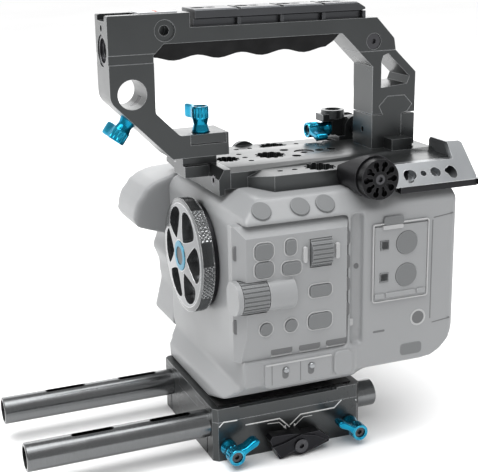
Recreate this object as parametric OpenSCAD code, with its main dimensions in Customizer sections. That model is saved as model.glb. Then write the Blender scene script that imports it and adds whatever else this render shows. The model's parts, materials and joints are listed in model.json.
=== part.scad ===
/* [Rods] */
// Diameter of each support rod
rod_d = 15; // [12:0.5:16]
// Distance between the two rod axes
rod_pitch = 60; // [56:1:64]
// Length of each rod
rod_len = 197; // [175:1:300]
// Length of rod that stands out behind the base
rod_tail = 12; // [8:1:40]
// Wall of the rod tube
rod_wall = 1.6; // [1:0.1:3]
// Height of the rod axes above the underside
rod_z = 18.5; // [18:0.1:19]
// Length of each slot in the top of a rod
rod_slot_len = 22.5; // [15:0.5:30]
// Width of each slot in a rod
rod_slot_w = 3.4; // [2:0.2:5]

/* [Base] */
// Width of the base
base_w = 82; // [80:1:96]
// Length of the base along the rods
base_l = 87; // [84:1:110]
// Height of the clamp block
block_h = 27.2; // [27:0.1:28]
// Height of the whole base, block and camera plate together
base_h = 30.1; // [29.6:0.1:36]
// Height at which the plate's side skirts end
skirt_z = 22.5; // [20:0.5:24]
// Distance of each clamp bolt from the nearer end of the base
clamp_end = 7.5; // [6.5:0.5:13]
// Height of the clamp bolts above the underside
clamp_z = 8; // [6.5:0.1:8.2]
// Distance that the camera plate slides each way
slide_travel = 20; // [10:1:26]

/* [Camera stand-in] */
// Height of the lens axis above the rod axes
lens_rise = 85.7; // [80:0.1:90]
// Distance from the lens axis to the operator's side of the camera
cam_side = 60; // [56:1:64]
// Distance from the lens axis to the grip side of the camera
cam_far = 52; // [50:1:56]
// Height of the camera
cam_h = 113.5; // [108:0.5:125]
// Distance from the middle of the base to the back of the camera
cam_back = 91.5; // [86:0.5:96]
// Distance from the middle of the base to the front of the camera
cam_front = 33.5; // [31:0.5:40]

/* [Mount cap] */
// Outer diameter of the lens mount cap
cap_d = 62.5; // [60:0.5:66]
// Depth of the rim of the lens mount cap
cap_t = 7.8; // [7.4:0.2:12]
// Number of spokes in the cap
cap_spokes = 6; // [5:1:8]

/* [Top plate] */
// Width of the top plate
top_w = 81; // [76:1:90]
// Distance from the middle of the base to the front of the top plate
top_front = 31; // [30:0.5:36]
// Distance from the middle of the base to the back of the top plate
top_back = 98; // [96:1:110]
// Thickness of the side lanes of the top plate
lane_t = 8.4; // [7:0.2:10]
// Height of the middle lane above the side lanes
lane_rise = 2; // [1:0.1:3]
// Width of the flat of the middle lane
lane_w = 39; // [34:1:42]

/* [Handle] */
// Width of the handle
grip_w = 22; // [20:1:24]
// Height of the handle's top bar above the top plate
bar_top = 71.6; // [68:0.5:80]
// Height of the front of the handle above its top bar
nose_rise = 7.4; // [4:0.2:12]
// Distance from the middle of the base to the front of the handle
nose_y = 82.6; // [78:0.5:90]
// Depth of the front post of the handle
post_d = 23.4; // [21:0.2:26]
// Distance from the middle of the base to the front of the rear tower
tower_y = 64.5; // [62:0.5:68]
// Depth of the rear tower
tower_d = 26.7; // [25:0.1:28]

/* [Side bracket] */
// Distance from the lens axis to the outer edge of the side bracket
bracket_x = 60; // [56:0.5:64]
// Length of the side bracket
bracket_l = 51; // [46:1:56]
// Diameter of the thumb knob
knob_d = 21; // [17:0.5:22]
// Number of pockets in the face of the thumb knob
knob_pockets = 10; // [6:1:12]

/* [Clamp levers] */
// Diameter of the hub of each clamp lever
hub_d = 9; // [8:0.2:9.4]
// Reach of the wing of each clamp lever from its axis
wing_reach = 14.5; // [11:0.5:15]

/* [Hidden] */
$fn = 64;

// Finish of the parts
gunmetal = [0.30, 0.31, 0.32];
satin_silver = [0.62, 0.64, 0.65];
black = [0.10, 0.10, 0.11];
steel = [0.55, 0.56, 0.58];
blue = [0.05, 0.55, 0.72];
stand_in_grey = [0.66, 0.67, 0.68];
red = [0.78, 0.20, 0.12];

// Fits, cuts and fasteners
over = 0.6;
slide_fit = 0.12;
shaft_fit = 0.05;
loose_fit = 0.3;
edge = 1;
thread_14_r = 2.6;
thread_38_r = 4;
small_thread_r = 1.6;
socket_h = 1.4;

// Clamp levers and their bolts
hub_r = hub_d / 2;
hub_len = 14.2;
hub_waist = 0.8;
hub_foot_share = 0.14;
hub_waist_share = 0.34;
hub_head_share = 0.55;
hub_recess = 1.2;
wing_w = 7.5;
bolt_r = 2;
bolt_head_r = 2.9;
bolt_head_h = 2.2;
bolt_socket_r = 1.5;
lever_gap = 0.5;
wing_angle = 30;
wing_shares = [
    [0.00, -0.20], [0.50, -0.12], [0.80, -0.16], [0.97, -0.10], [1.00, 0.02],
    [0.97, 0.11], [0.80, 0.12], [0.50, 0.10], [0.25, 0.25], [0.00, 0.30]];

// Rods
rod_r = rod_d / 2;
rod_x = rod_pitch / 2;
bore_r = rod_r + shaft_fit;
rod_lip = 0.5;
rod_slot_y = 24.3;
rod_slot_step = 42;

// Clamp block
slit_w = 1.4;
skirt_t = 2.6;
corner_cut = 2.5;
plate_under = block_h + slide_fit;
tongue_neck = 13;
tongue_foot = 16;
tongue_h = 5.2;
tripod_depth = 11;
tripod_steps = 29 / 6;
tripod_step = base_l / tripod_steps;
clamp_y = base_l / 2 - clamp_end;
nut_r = 3.6;
nut_t = 3;

// Release mechanism
release_y = 1.5;
release_z = 6.5;
release_r = 3;
release_hub_r = 6;
release_neck = 4;
release_arm = 18;
release_t = 7.5;
release_head_r = 3.8;
release_head_h = 2.2;
release_shares = [
    [-0.97, 0.30], [-0.90, 0.42], [-0.32, 0.40], [0.10, 0.32], [0.62, 0.33], [0.98, 0.04],
    [0.94, -0.08], [0.12, -0.32], [-0.22, -0.20], [-0.58, -0.34], [-0.68, -0.34]];
release_face_shares = [
    [-0.90, 0.10], [-0.55, 0.16], [0.02, 0.34], [0.50, 0.22], [0.86, 0.00],
    [0.10, -0.26], [-0.22, -0.14], [-0.58, -0.26], [-0.66, -0.26]];
pin_x = 10;
pin_r = 2.4;
pin_bite = 1.4;
pin_top = plate_under - tongue_h + pin_bite;
pin_foot_w = 5;
pin_foot_h = 6;
crank_r = 1.4;
crank_offset = 2.8;
crank_sweep = 0.6;
crank_len = 5;
crank_gap = 0.45;
crank_disc_r = 4.7;
crank_disc_t = 1.6;
spring_y = 3.4;
spring_coil_r = 1.3;
spring_wire_r = 0.25;
spring_h = 6.4;
spring_turns = 6;
cavity_x0 = pin_x - pin_foot_w / 2 - loose_fit;
cavity_x1 = 22;
cavity_mid = (cavity_x0 + cavity_x1) / 2;
cavity_l = 17;
cavity_h = 12.5;
cover_rim = 1.6;
cover_t = 1.5;
cover_screw_y = 11;
cover_screw_r = 1;
cover_head_r = 1.8;
cover_head_h = 0.9;
cover_screw_depth = 6;
cover_socket_r = 0.8;
cover_end = 5;

// Camera plate
plate_top = base_h;
rim_gap = 58;
rim_step = 1.6;
pad_t = 1.2;
pad_proud = 0.4;
pad_margin = 4;
cam_screw_y = 24;
camera_screw_r = 3;
camera_head_r = 5;
camera_head_h = 3;
camera_head_z = 3.6;
camera_screw_bite = 6;
camera_socket_r = 2.2;

// Camera stand-in
cam_z = plate_top + pad_proud;
cam_top = cam_z + cam_h;
lens_z = rod_z + lens_rise;
cam_l = cam_front + cam_back;
cam_side_shares = [
    [-0.050, 0.00], [-0.055, 0.07], [0.00, 0.14], [0.00, 0.88], [0.02, 0.93], [0.10, 1.00],
    [0.93, 1.00], [0.98, 0.96], [1.00, 0.89], [1.00, 0.31], [0.990, 0.28], [0.965, 0.232],
    [0.925, 0.185], [0.875, 0.155], [0.82, 0.143], [0.56, 0.143], [0.54, 0.00]];
cam_foot_near = 23;
cam_foot_far = 41;
cam_haunch_x = 13;
cam_haunch_z = 8;
cam_waist_z = 18;
cam_shoulder = 10;
cam_corner = 7;
cam_bay_y0 = 27;
cam_bay_y1 = 34;
cam_bay_t = 3.5;
throat_r = 26.8;
throat_t = 6;

// Control module on the operator's side of the camera
module_in = 10;
module_out = 1.5;
module_y0 = -37;
module_y1 = 26;
module_z0 = cam_z + cam_h * 0.277533;
module_z1 = cam_z + cam_h * 0.903084;
module_slant = 5;
drum_x = 58;
drum_z = cam_z + cam_h * 0.584141;
drum_r = 8.7;
drum_y1 = -6.5;
dial_y0 = -35;
dial_l = 13.7;
upper_wheel_x = 56;
upper_wheel_y = 3;
upper_wheel_l = 11.6;
upper_wheel_z = cam_z + cam_h * 0.753304;
upper_wheel_r = 9;
axle_r = 1.5;
axle_l = 1.6;
wheel_gap = 0.35;
wheel_grooves = 24;
groove_r = 0.5;
block_y0 = -21.6;
block_y1 = 29.2;
block_z0 = cam_z + cam_h * 0.136564;
block_z1 = cam_z + cam_h * 0.266079;
button_t = 1;
shoulder_button_r = 5.2;
shoulder_button_ys = [-21, 0, 14];
round_button_r = 3.2;
round_button_ys = [-21.8, -8];
round_button_z = cam_z + cam_h * 0.431718;
key_shares = [
    [-0.225, 0.791, 0.095, 0.080], [-0.225, 0.709, 0.095, 0.078], [-0.080, 0.796, 0.054, 0.076],
    [-0.076, 0.700, 0.099, 0.063], [0.085, 0.576, 0.120, 0.060], [0.082, 0.433, 0.130, 0.080]];
key_unit = 100;
door_y0 = 40;
door_y1 = 71;
door_z0 = cam_z + cam_h * 0.475771;
door_z1 = cam_z + cam_h * 0.828194;
door_t = 0.8;
port_r = 6.3;
port_y = 58.8;
port_zs = [cam_z + cam_h * 0.585903, cam_z + cam_h * 0.740969];
plug_y = 45.7;
plug_w = 5;

// Grip of the camera
grip_reach = 36;
grip_inner = 10;
grip_fall = 9;
grip_shares = [
    [0.030, 0.935], [-0.060, 0.905], [-0.110, 0.870], [-0.130, 0.835], [-0.150, 0.812],
    [-0.166, 0.765], [-0.173, 0.716], [-0.152, 0.674], [-0.088, 0.650], [0.022, 0.614], [0.018, 0.550],
    [-0.004, 0.487], [0.024, 0.410], [0.033, 0.292], [0.008, 0.180], [-0.003, 0.133], [0.086, 0.050],
    [0.200, 0.100], [0.322, 0.300], [0.350, 0.700], [0.310, 0.900], [0.250, 0.950], [0.110, 0.965]];

// Mount and its cap
mount_r = 29;
mount_t = 2.7;
mount_bore_r = 24;
lug_r = 26.4;
lug_t = 1.6;
lug_gap = 0.3;
lug_w = 15;
lug_count = 3;
cap_r = cap_d / 2;
cap_y = -cam_front - mount_t;
cap_rim = 4.6;
cap_web = 2.4;
cap_hub_r = 9.5;
cap_spoke_w = 4.4;
cap_gap = 0.3;
spigot_wall = 2.6;
badge_r = 8.2;
badge_t = 0.9;

// Top plate
lane_z = cam_top + lane_t;
mid_z = lane_z + lane_rise;
lane_slope = 4.2;
bridge_t = 6.5;
bridge_near = 24;
bridge_far = 62;
bridge_drop = 3.2;
bridge_slope_y = 3;
bridge_slope_z = 5.2;
bridge_rise = 1.2;
bridge_nose_w = 18;
bridge_nose_l = 13;
bridge_nose_h = 6;
ramp_y = 24;
ramp_drop = 6.6;
ramp_in = 16;
rail_neck = 5.5;
rail_head = 8;
rail_neck_h = 5.8;
rail_slope = 1.2;
rail_head_h = 8.6;
rail_l = 19;
screw_14_head_r = 5.4;
plate_screw_r = 3;
plate_screw_head_h = 2.4;
plate_screw_bite = 6;
plate_screw_y = 28.5;
lane_screw_y = 57;
lane_x = 30.5;
big_hole_r = 8.6;
mid_hole_r = 6.8;
scallop_r = 1.3;
scallop_count = 12;
big_hole_depth = 5;
mid_hole_y = -16.8;
big_hole_y = 8.2;
lane_hole_y = 23.3;
row_y = -6.6;
row_step = 9;
pair_y = 20.2;
pair_x = 8.3;
tail_y = 37.9;
tail_step = 7.4;
lane_small_ys = [0.5, 8.7, 37.9];
lug_block_x0 = 11;
lug_block_x1 = 20;
lug_block_y0 = 72.2;
lug_block_y1 = 84.8;
lug_block_h = 6.1;
hump_r = 8;
hump_y = 9;
hump_drop = 5.6;
hump_w = 2.4;

// Side bracket, knob and stowed tool
bracket_z = cam_top;
bracket_rise = 14;
bracket_t = 3.2;
ear_rise = 25;
ear_l = 8.7;
ear_slope = 0.8;
ear_cut = 1.6;
bracket_root = 12;
bracket_hole_r = 3;
bracket_pin_r = 1.7;
bracket_hole_step = 7.3;
bracket_hole_y = 13.4;
wall_x0 = 16;
wall_t = 4;
wall_h = 15.5;
holder_t = 3.6;
holder_w = 5;
holder_l = 46;
tool_r = 1.5;
tool_l = 40;
tool_foot = 5;
knob_y = 39.3;
knob_z = mid_z - 3.2;
knob_r = knob_d / 2;
knob_t = 5.5;
knob_pocket_r = 1.7;
knob_pocket_depth = 3;
knob_hub_r = 3.2;
housing_r = knob_r + 0.8;
spindle_r = 2.5;

// Handle
hw = grip_w / 2;
bar_z = mid_z + bar_top;
nose_z = bar_z + nose_rise;
bar_t = 7.5;
under_z = bar_z - bar_t;
nose_l = 43;
grip_h = 8;
grip_wave = 1.2;
grip_waves = 4;
grip_bottom_w = 12;
post_chamfer = 5.4;
foot_top = 17;
foot_bottom = 5.1;
foot_back = 20;
post_round = 8;
seam_rise = 53.7;
seam_in = 8.3;
seam_y = tower_y - seam_in;
bar_back_y = tower_y + 2.2;
bar_end_in = 14;
bar_end_y = tower_y + bar_end_in;
bar_end_rise = 60;
rod_hole_y = 11.5;
rod_hole_rise = 39.9;
slope_rise = 36.7;
clamp_tilt = 54;
clamp_sink = 2.3;
clamp_aside = 8.8;
clamp_face = (rod_hole_y + rod_hole_rise - slope_rise + clamp_aside * (sin(clamp_tilt) - cos(clamp_tilt)))
    / (sin(clamp_tilt) + cos(clamp_tilt)) - clamp_sink;
shoe_r = 3;
shoe_top = 2;
shoe_gap = 0.8;
shoe_bite = 3.6;
nose_groove_w = 13;
nose_groove_l = 17;
nose_groove_t = 3;
button_l = 20;
button_w = 13;
button_h = 4;
port_insert_r = 8.1;
port_insert_t = 3;
port_rise = 61.4;
port_depth = 12;
pin_hole_r = 1.6;
pin_hole_rise = 72.4;
pin_hole_depth = 8;
side_port_r = 5.4;
side_port_t = 1.6;
side_port_in = 29.6;
side_port_inner = 4.4;
side_port_rise = 70.6;
side_bolt_y = tower_y + 0.4;
side_bolt_rise = 58.9;
side_bolt_r = 2.5;
side_bolt_head_r = 4.2;
side_bolt_head_h = 2.6;
rail_foot_w = 14;
rail_foot_h = 3.6;
rail_cap_w = 20;
rail_cap_h = 5;
rail_y0 = -36.5;
rail_y1 = 60;
rail_rib_step = 24;
rail_rib_w = 2.2;
rail_end_slope = 5;
rail_screw_r = 2;
rail_screw_head_r = 3.6;
rail_screw_head_h = 2;
rail_screw_bite = 5;
band_h = 4.6;
band_t = 0.5;
band_rise = 55;

// Rear tower, its shoe and its jaw
tower_gap = 0.3;
tower_slope = 12.5;
tower_foot = 19;
window_shares = [[0.20, 0.42], [0.20, 0.83], [0.24, 0.92], [0.35, 0.95], [0.86, 0.57], [0.80, 0.46]];
tee_shares = [
    [0.32, -0.06], [0.25, 0.00], [0.16, 0.48], [0.36, 1.00], [0.75, 1.00], [0.93, 0.48],
    [0.82, 0.10], [0.68, 0.00], [0.60, -0.06]];
tee_h = 9.9;
tee_gap = 0.12;
shoe_h = 18.6;
shoe_share = 0.68;
jaw_gap = 0.3;
jaw_lift = 0.8;
tower_screw_r = 2.5;
tower_screw_head_r = 3.6;
tower_screw_head_h = 2.6;
tower_screw_y = 8;
tower_screw_bite = 9;
tower_seat = 2.2;
shoe_hole_rise = 9.5;
jaw_screw_rise = 12.6;

// Front jaw
jaw_y0 = 41;
jaw_y1 = 21.6;
jaw_drop = 5;
jaw_tongue_t = 4.4;
jaw_lever_x = 4.6;
jaw_lever_y = 33.2;
lever_sink = 0.8;

// Arm on the grip side
arm_x = 33;
arm_y = 74;
arm_z = 7.5;
arm_r = 7;
arm_cheek = 3.5;
arm_half = 4;
arm_gap = 0.15;
arm_foot_l = 22;
arm_foot_h = 3;
arm_bar_y = 54;
arm_bar_h = 4.2;
arm_block_y = 60.3;
ring_y = 62.6;
ring_z = 15.4;
ring_h = 5.2;
ring_r = 6.8;
ring_bore_r = 4.6;
arm_lever_z = 6.9;
pivot_r = 2.5;
pivot_head_r = 4;
pivot_head_h = 2.2;
arm_screw_r = 1.6;
arm_wing_angle = -10;

// Places of the screws in the top plate: X, Y and the height of the face they go into
plate_screw_places = [[0, plate_screw_y, mid_z], [lane_x, lane_screw_y, lane_z],
    [-lane_x, lane_screw_y, lane_z]];
shoe_screw_r = 2;
shoe_screw_head_r = 3.6;
shoe_screw_head_h = 2.6;
shoe_screw_bite = 8;
shoe_screw_ys = [tower_y + tower_d * 0.2, tower_y + tower_d * 0.5];
bracket_screw_r = 1.5;
bracket_screw_head_r = 2.7;
bracket_screw_head_h = 1.8;
bracket_screw_seat = 3;
bracket_screw_front = 36;
bracket_screw_back = 10;
bracket_screw_ys = [top_back - bracket_screw_front, top_back - bracket_screw_back];
bracket_screw_z = cam_top + lane_t / 2;
bridge_screw_r = 1.5;
bridge_screw_head_r = 2.8;
bridge_screw_head_h = 2;
bridge_screw_bite = 8;
bridge_screw_x = 16;
bridge_screw_z = cam_top + 3.6;
arm_screw_ys = [arm_y + arm_foot_l * 0.43];
housing_slope = 3;
spindle_end = 6;
slope_y = -nose_y + slope_rise;
post_in_rise = 29.6;
jaw_play = 0.4;
jaw_wing_angle = 192;
clamp_wing_angle = 167;
button_travel = 1;
button_proud = 0.5;
button_spring_r = 2;
button_spring_h = 5;
button_spring_turns = 4;
button_y = -nose_y + nose_groove_l + edge + button_l / 2;
button_mark_r = 2.6;
rail_rib_t = 0.8;
rail_screw_in = 5;
rail_ribs = floor((rail_y1 - rail_y0) / rail_rib_step);
rail_screw_ys = [for (i = [1 : rail_ribs]) rail_y0 + rail_screw_in + (i - 1) * rail_rib_step];
grip_screw_r = 1.3;
grip_screw_head_r = 2.3;
grip_screw_head_h = 1.6;
grip_screw_seat = 4;
grip_screw_bite = 5;
grip_screw_in = 9;
grip_screw_ys = [-nose_y + post_d + grip_screw_in,
    seam_y - grip_screw_in - under_z + mid_z + seam_rise - grip_h];
arm_drop = 4.2;
arm_bar_lift = 4.1;
ring_lift = 5.6;
arm_bolt_bite = 7;

// Solid with an outline in the Y and Z directions, from x0 to x1
module prism_x(points, x0, x1) { translate([x0, 0, 0]) rotate([90, 0, 90]) linear_extrude(x1 - x0)
    polygon(points); }

// Solid with an outline in the X and Z directions, from y0 to y1
module prism_y(points, y0, y1) { translate([0, y1, 0]) rotate([90, 0, 0]) linear_extrude(y1 - y0)
    polygon(points); }

// Solid with an outline in the X and Y directions, from z0 to z1
module prism_z(points, z0, z1) { translate([0, 0, z0]) linear_extrude(z1 - z0) polygon(points); }

// Round bars along X, Y and Z between two places
module bar_x(r, x0, x1, y, z) { translate([x0, y, z]) rotate([0, 90, 0]) cylinder(r = r, h = x1 - x0); }
module bar_y(r, y0, y1, x, z) { translate([x, y1, z]) rotate([90, 0, 0]) cylinder(r = r, h = y1 - y0); }
module bar_z(r, z0, z1, x, y) { translate([x, y, z0]) cylinder(r = r, h = z1 - z0); }

// Box between two corners
module block(x0, x1, y0, y1, z0, z1) { translate([x0, y0, z0]) cube([x1 - x0, y1 - y0, z1 - z0]); }

// Corners of a rectangle, each cut at 45 degrees by c
function cut_box(x0, x1, y0, y1, c) = [
    [x0 + c, y0], [x1 - c, y0], [x1, y0 + c], [x1, y1 - c],
    [x1 - c, y1], [x0 + c, y1], [x0, y1 - c], [x0, y0 + c]];

// Outline whose corner i is rounded by its third number, in n steps, and sharp where that is zero
function outline(p, n = 6) = [
    for (i = [0 : len(p) - 1])
        let (
            b = [p[i][0], p[i][1]],
            r = p[i][2],
            q = p[(i + len(p) - 1) % len(p)],
            s = p[(i + 1) % len(p)],
            u = ([q[0], q[1]] - b) / norm([q[0], q[1]] - b),
            v = ([s[0], s[1]] - b) / norm([s[0], s[1]] - b),
            half = acos(u * v) / 2,
            centre = b + (u + v) / norm(u + v) * r / sin(half),
            p0 = b + u * r / tan(half) - centre,
            p1 = b + v * r / tan(half) - centre,
            a0 = atan2(p0[1], p0[0]),
            turn = (atan2(p1[1], p1[0]) - a0 + 540) % 360 - 180)
            for (k = r > 0 ? [0 : n] : [0]) r > 0 ? centre + r * [cos(a0 + turn * k / n),
                sin(a0 + turn * k / n)] : b];

// The same outline as a list of shares of two sizes, moved to a corner
function shared(shares, size_a, size_b, at_a = 0, at_b = 0) = [
    for (s = shares) [at_a + s[0] * size_a, at_b + s[1] * size_b]];

// Slot with round ends along Y, cut down through a face
module slot_z(r, y0, y1, z0, z1, x) {
    block(x - r, x + r, y0 + r, y1 - r, z0, z1);
    bar_z(r, z0, z1, x, y0 + r);
    bar_z(r, z0, z1, x, y1 - r);
}

// Screw with a round head and a hexagonal socket, its seat at z = 0 and its head above
module screw(r, head_r, head_h, length, hex_r) {
    difference() {
        union() {
            translate([0, 0, -length]) cylinder(r = r, h = length + head_h / 2);
            cylinder(r = head_r, h = head_h);
        }
        translate([0, 0, head_h - socket_h]) cylinder(r = hex_r, h = socket_h + over, $fn = 6);
    }
}

// Wound spring standing on z = 0, as one unbroken tube of six sides
module coil(coil_r, wire_r, height, turns) {
    steps = turns * 8;
    pitch_h = height - 2 * wire_r;
    ring_points = [
        for (i = [0 : steps], k = [0 : 5])
            let (a = 360 * i / 8, r = coil_r + wire_r * cos(60 * k))
                [r * cos(a), r * sin(a), wire_r + pitch_h * i / steps + wire_r * sin(60 * k)]];
    sides = [
        for (i = [0 : steps - 1], k = [0 : 5])
            let (a = i * 6 + k, b = i * 6 + (k + 1) % 6)
                each [[a, b, b + 6], [a, b + 6, a + 6]]];
    first = [for (k = [1 : 4]) [0, k + 1, k]];
    last = [for (k = [1 : 4]) [steps * 6, steps * 6 + k, steps * 6 + k + 1]];
    polyhedron(ring_points, concat(sides, first, last));
    echo(least_gap = pitch_h / turns - 2 * wire_r);
}

// Clamp lever with its foot at z = 0, its wing along +X, and a bore for its bolt
module clamp_lever() {
    waist_r = hub_r - hub_waist;
    difference() {
        union() {
            rotate_extrude() polygon([
                [0, 0], [hub_r, 0], [hub_r, hub_len * hub_foot_share], [waist_r, hub_len * hub_waist_share],
                [hub_r, hub_len * hub_head_share], [hub_r, hub_len], [0, hub_len]]);
            translate([0, 0, hub_len - wing_w]) linear_extrude(wing_w) polygon(wing_reach * wing_shares);
        }
        translate([0, 0, -over]) cylinder(r = bolt_r + shaft_fit, h = hub_len + 2 * over);
        translate([0, 0, hub_len - hub_recess - bolt_head_h])
            cylinder(r = bolt_head_r + slide_fit, h = hub_recess + bolt_head_h + over);
    }
}

// Bolt of a clamp lever, in the lever's place, reaching below its foot
module clamp_bolt(reach) {
    seat = hub_len - hub_recess - bolt_head_h;
    translate([0, 0, seat]) screw(bolt_r, bolt_head_r, bolt_head_h, seat + reach, bolt_socket_r);
}

// Clamp block of the base: rod bores, clamp slits, bolt holes and the channel for the camera plate
module base_block() {
    land = base_w / 2 - skirt_t - slide_fit;
    pocket_l = cavity_l / 2 + cover_end;
    color(gunmetal) difference() {
        union() {
            prism_z(cut_box(-base_w / 2, base_w / 2, -base_l / 2, base_l / 2, corner_cut), 0,
                skirt_z - slide_fit);
            block(-land, land, -base_l / 2, base_l / 2, skirt_z - over, block_h);
        }
        prism_y([
            [-tongue_neck - slide_fit, plate_under + over], [-tongue_neck - slide_fit, plate_under],
            [-tongue_foot - slide_fit, plate_under - tongue_h - slide_fit],
            [tongue_foot + slide_fit, plate_under - tongue_h - slide_fit],
            [tongue_neck + slide_fit, plate_under], [tongue_neck + slide_fit, plate_under + over]],
                -base_l, base_l);
        for (s = [-1, 1]) {
            bar_y(bore_r, -base_l, base_l, s * rod_x, rod_z);
            block(s * rod_x - slit_w / 2, s * rod_x + slit_w / 2, -base_l, base_l, -over, rod_z);
            bar_x(bolt_r + shaft_fit, -base_w, base_w, s * clamp_y, clamp_z);
            bar_z(thread_14_r, -over, tripod_depth, 0, s * tripod_step);
            translate([-base_w / 2 - over, s * clamp_y, clamp_z]) rotate([0, 90, 0])
                cylinder(r = nut_r + shaft_fit, h = nut_t + over, $fn = 6);
            bar_z(cover_screw_r, -over, cover_screw_depth, cavity_mid, release_y + s * cover_screw_y);
        }
        bar_z(thread_38_r, -over, tripod_depth, 0, 0);
        bar_x(release_r + shaft_fit, pin_x, base_w, release_y, release_z);
        block(cavity_x0, cavity_x1, release_y - cavity_l / 2, release_y + cavity_l / 2, -over, cavity_h);
        block(cavity_x0 - cover_rim, cavity_x1 + cover_rim, release_y - pocket_l, release_y + pocket_l,
            -over, cover_t + slide_fit);
        bar_z(pin_r + shaft_fit, 0, block_h, pin_x, release_y);
    }
}

// Cover over the release mechanism, let into the underside
module base_cover() {
    half = cavity_l / 2 + cover_end - loose_fit;
    color(black) difference() {
        block(cavity_x0 - cover_rim + loose_fit, cavity_x1 + cover_rim - loose_fit, release_y - half,
            release_y + half,
            slide_fit, cover_t + slide_fit);
        for (s = [-1, 1]) {
            bar_z(cover_screw_r + shaft_fit, -over, block_h, cavity_mid, release_y + s * cover_screw_y);
            bar_z(cover_head_r + shaft_fit, -over, slide_fit + cover_head_h, cavity_mid,
                release_y + s * cover_screw_y);
        }
    }
}

// Two screws that hold the cover
module cover_screws() {
    color(steel) for (s = [-1, 1])
        translate([cavity_mid, release_y + s * cover_screw_y, slide_fit + cover_head_h]) mirror([0, 0, 1])
            difference() {
            union() {
                translate([0, 0, -cover_screw_depth + cover_head_h + over])
                    cylinder(r = cover_screw_r - shaft_fit,
                        h = cover_screw_depth - cover_head_h - over + shaft_fit);
                cylinder(r = cover_head_r, h = cover_head_h);
            }
            translate([0, 0, cover_head_h / 2]) cylinder(r = cover_socket_r, h = cover_head_h, $fn = 6);
        }
}

// Nuts of the two clamp bolts, sunk into the grip side of the block
module clamp_nuts() {
    color(steel) for (s = [-1, 1]) difference() {
        translate([-base_w / 2, s * clamp_y, clamp_z]) rotate([0, 90, 0])
            cylinder(r = nut_r, h = nut_t, $fn = 6);
        bar_x(bolt_r + shaft_fit, -base_w, 0, s * clamp_y, clamp_z);
    }
}

// Wound spring that lifts the lock pin
module release_spring() {
    color(steel) translate([pin_x, release_y - spring_y, cover_t + slide_fit])
        coil(spring_coil_r, spring_wire_r, spring_h, spring_turns);
}

// Support rod: a tube with two slots cut into its top
module rod(x) {
    back = base_l / 2 + rod_tail;
    color(steel) difference() {
        translate([x, back, rod_z]) rotate([90, 0, 0]) rotate_extrude() polygon([
            [rod_r - rod_wall, 0], [rod_r - rod_lip, 0], [rod_r, rod_lip],
            [rod_r, rod_len - rod_lip], [rod_r - rod_lip, rod_len], [rod_r - rod_wall, rod_len]]);
        for (y = [0, rod_slot_step])
            slot_z(rod_slot_w / 2, back - rod_len + rod_slot_y + y,
                back - rod_len + rod_slot_y + y + rod_slot_len,
                rod_z, rod_z + rod_d, x);
    }
}
module rod_near() { rod(rod_x); }
module rod_far() { rod(-rod_x); }

// Place of a clamp lever on the operator's side, its wing turned from the +Y direction
module side_lever(y, angle) {
    translate([base_w / 2 + lever_gap, y, clamp_z]) rotate([angle, 0, 0]) rotate([90, 0, 90]) children();
}
module front_rod_lever() { color(blue) side_lever(-clamp_y, wing_angle) clamp_lever(); }
module rear_rod_lever() { color(blue) side_lever(clamp_y, 180 - wing_angle) clamp_lever(); }
module front_rod_bolt() { color(steel) side_lever(-clamp_y, wing_angle)
    clamp_bolt(base_w + lever_gap - over); }
module rear_rod_bolt() { color(steel) side_lever(clamp_y, 180 - wing_angle)
    clamp_bolt(base_w + lever_gap - over); }

// Two-winged lever that lets the camera plate go
module release_lever() {
    x0 = base_w / 2 + lever_gap;
    x1 = x0 + release_neck + release_t;
    color(black) difference() {
        union() {
            bar_x(release_hub_r, x0, x1 - edge, release_y, release_z);
            prism_x(shared(release_shares, release_arm, release_arm, release_y, release_z),
                x0 + release_neck, x1 - edge);
            prism_x(shared(release_face_shares, release_arm, release_arm, release_y, release_z),
                x1 - 2 * edge, x1);
        }
        bar_x(release_r + slide_fit, 0, base_w, release_y, release_z);
        bar_x(release_head_r + slide_fit, x1 - release_head_h, base_w, release_y, release_z);
    }
}

// Shaft of the release lever with the crank that works the lock pin
module release_shaft() {
    x1 = base_w / 2 + lever_gap + release_neck + release_t - release_head_h;
    foot = pin_x + pin_foot_w / 2 + crank_gap;
    color(steel) difference() {
        union() {
            bar_x(release_r, foot, x1 + over, release_y, release_z);
            bar_x(release_head_r, x1, x1 + release_head_h + edge, release_y, release_z);
            bar_x(crank_disc_r, foot, foot + crank_disc_t, release_y, release_z);
            bar_x(crank_r, foot - crank_len, foot + over, release_y + crank_offset, release_z);
        }
        translate([x1 + release_head_h + edge - socket_h, release_y, release_z]) rotate([0, 90, 0])
            cylinder(r = bolt_socket_r, h = socket_h + over, $fn = 6);
    }
}

// Pin that stands in the groove of the camera plate and is drawn down by the crank
module lock_pin() {
    z0 = release_z - pin_foot_h / 2;
    spring_space = spring_coil_r + spring_wire_r + loose_fit;
    slot_h = crank_r + crank_gap;
    color(steel) difference() {
        union() {
            bar_z(pin_r, release_z, pin_top, pin_x, release_y);
            block(pin_x - pin_foot_w / 2, pin_x + pin_foot_w / 2, release_y - spring_y - spring_space - edge,
                release_y + crank_offset + slot_h + edge, z0, z0 + pin_foot_h);
        }
        block(pin_x - pin_foot_w, pin_x + pin_foot_w, release_y + crank_offset - crank_sweep - slot_h,
            release_y + crank_offset + slot_h, release_z - slot_h, release_z + slot_h);
        bar_z(spring_space, 0, cover_t + slide_fit + spring_h + shaft_fit, pin_x, release_y - spring_y);
    }
}

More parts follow.
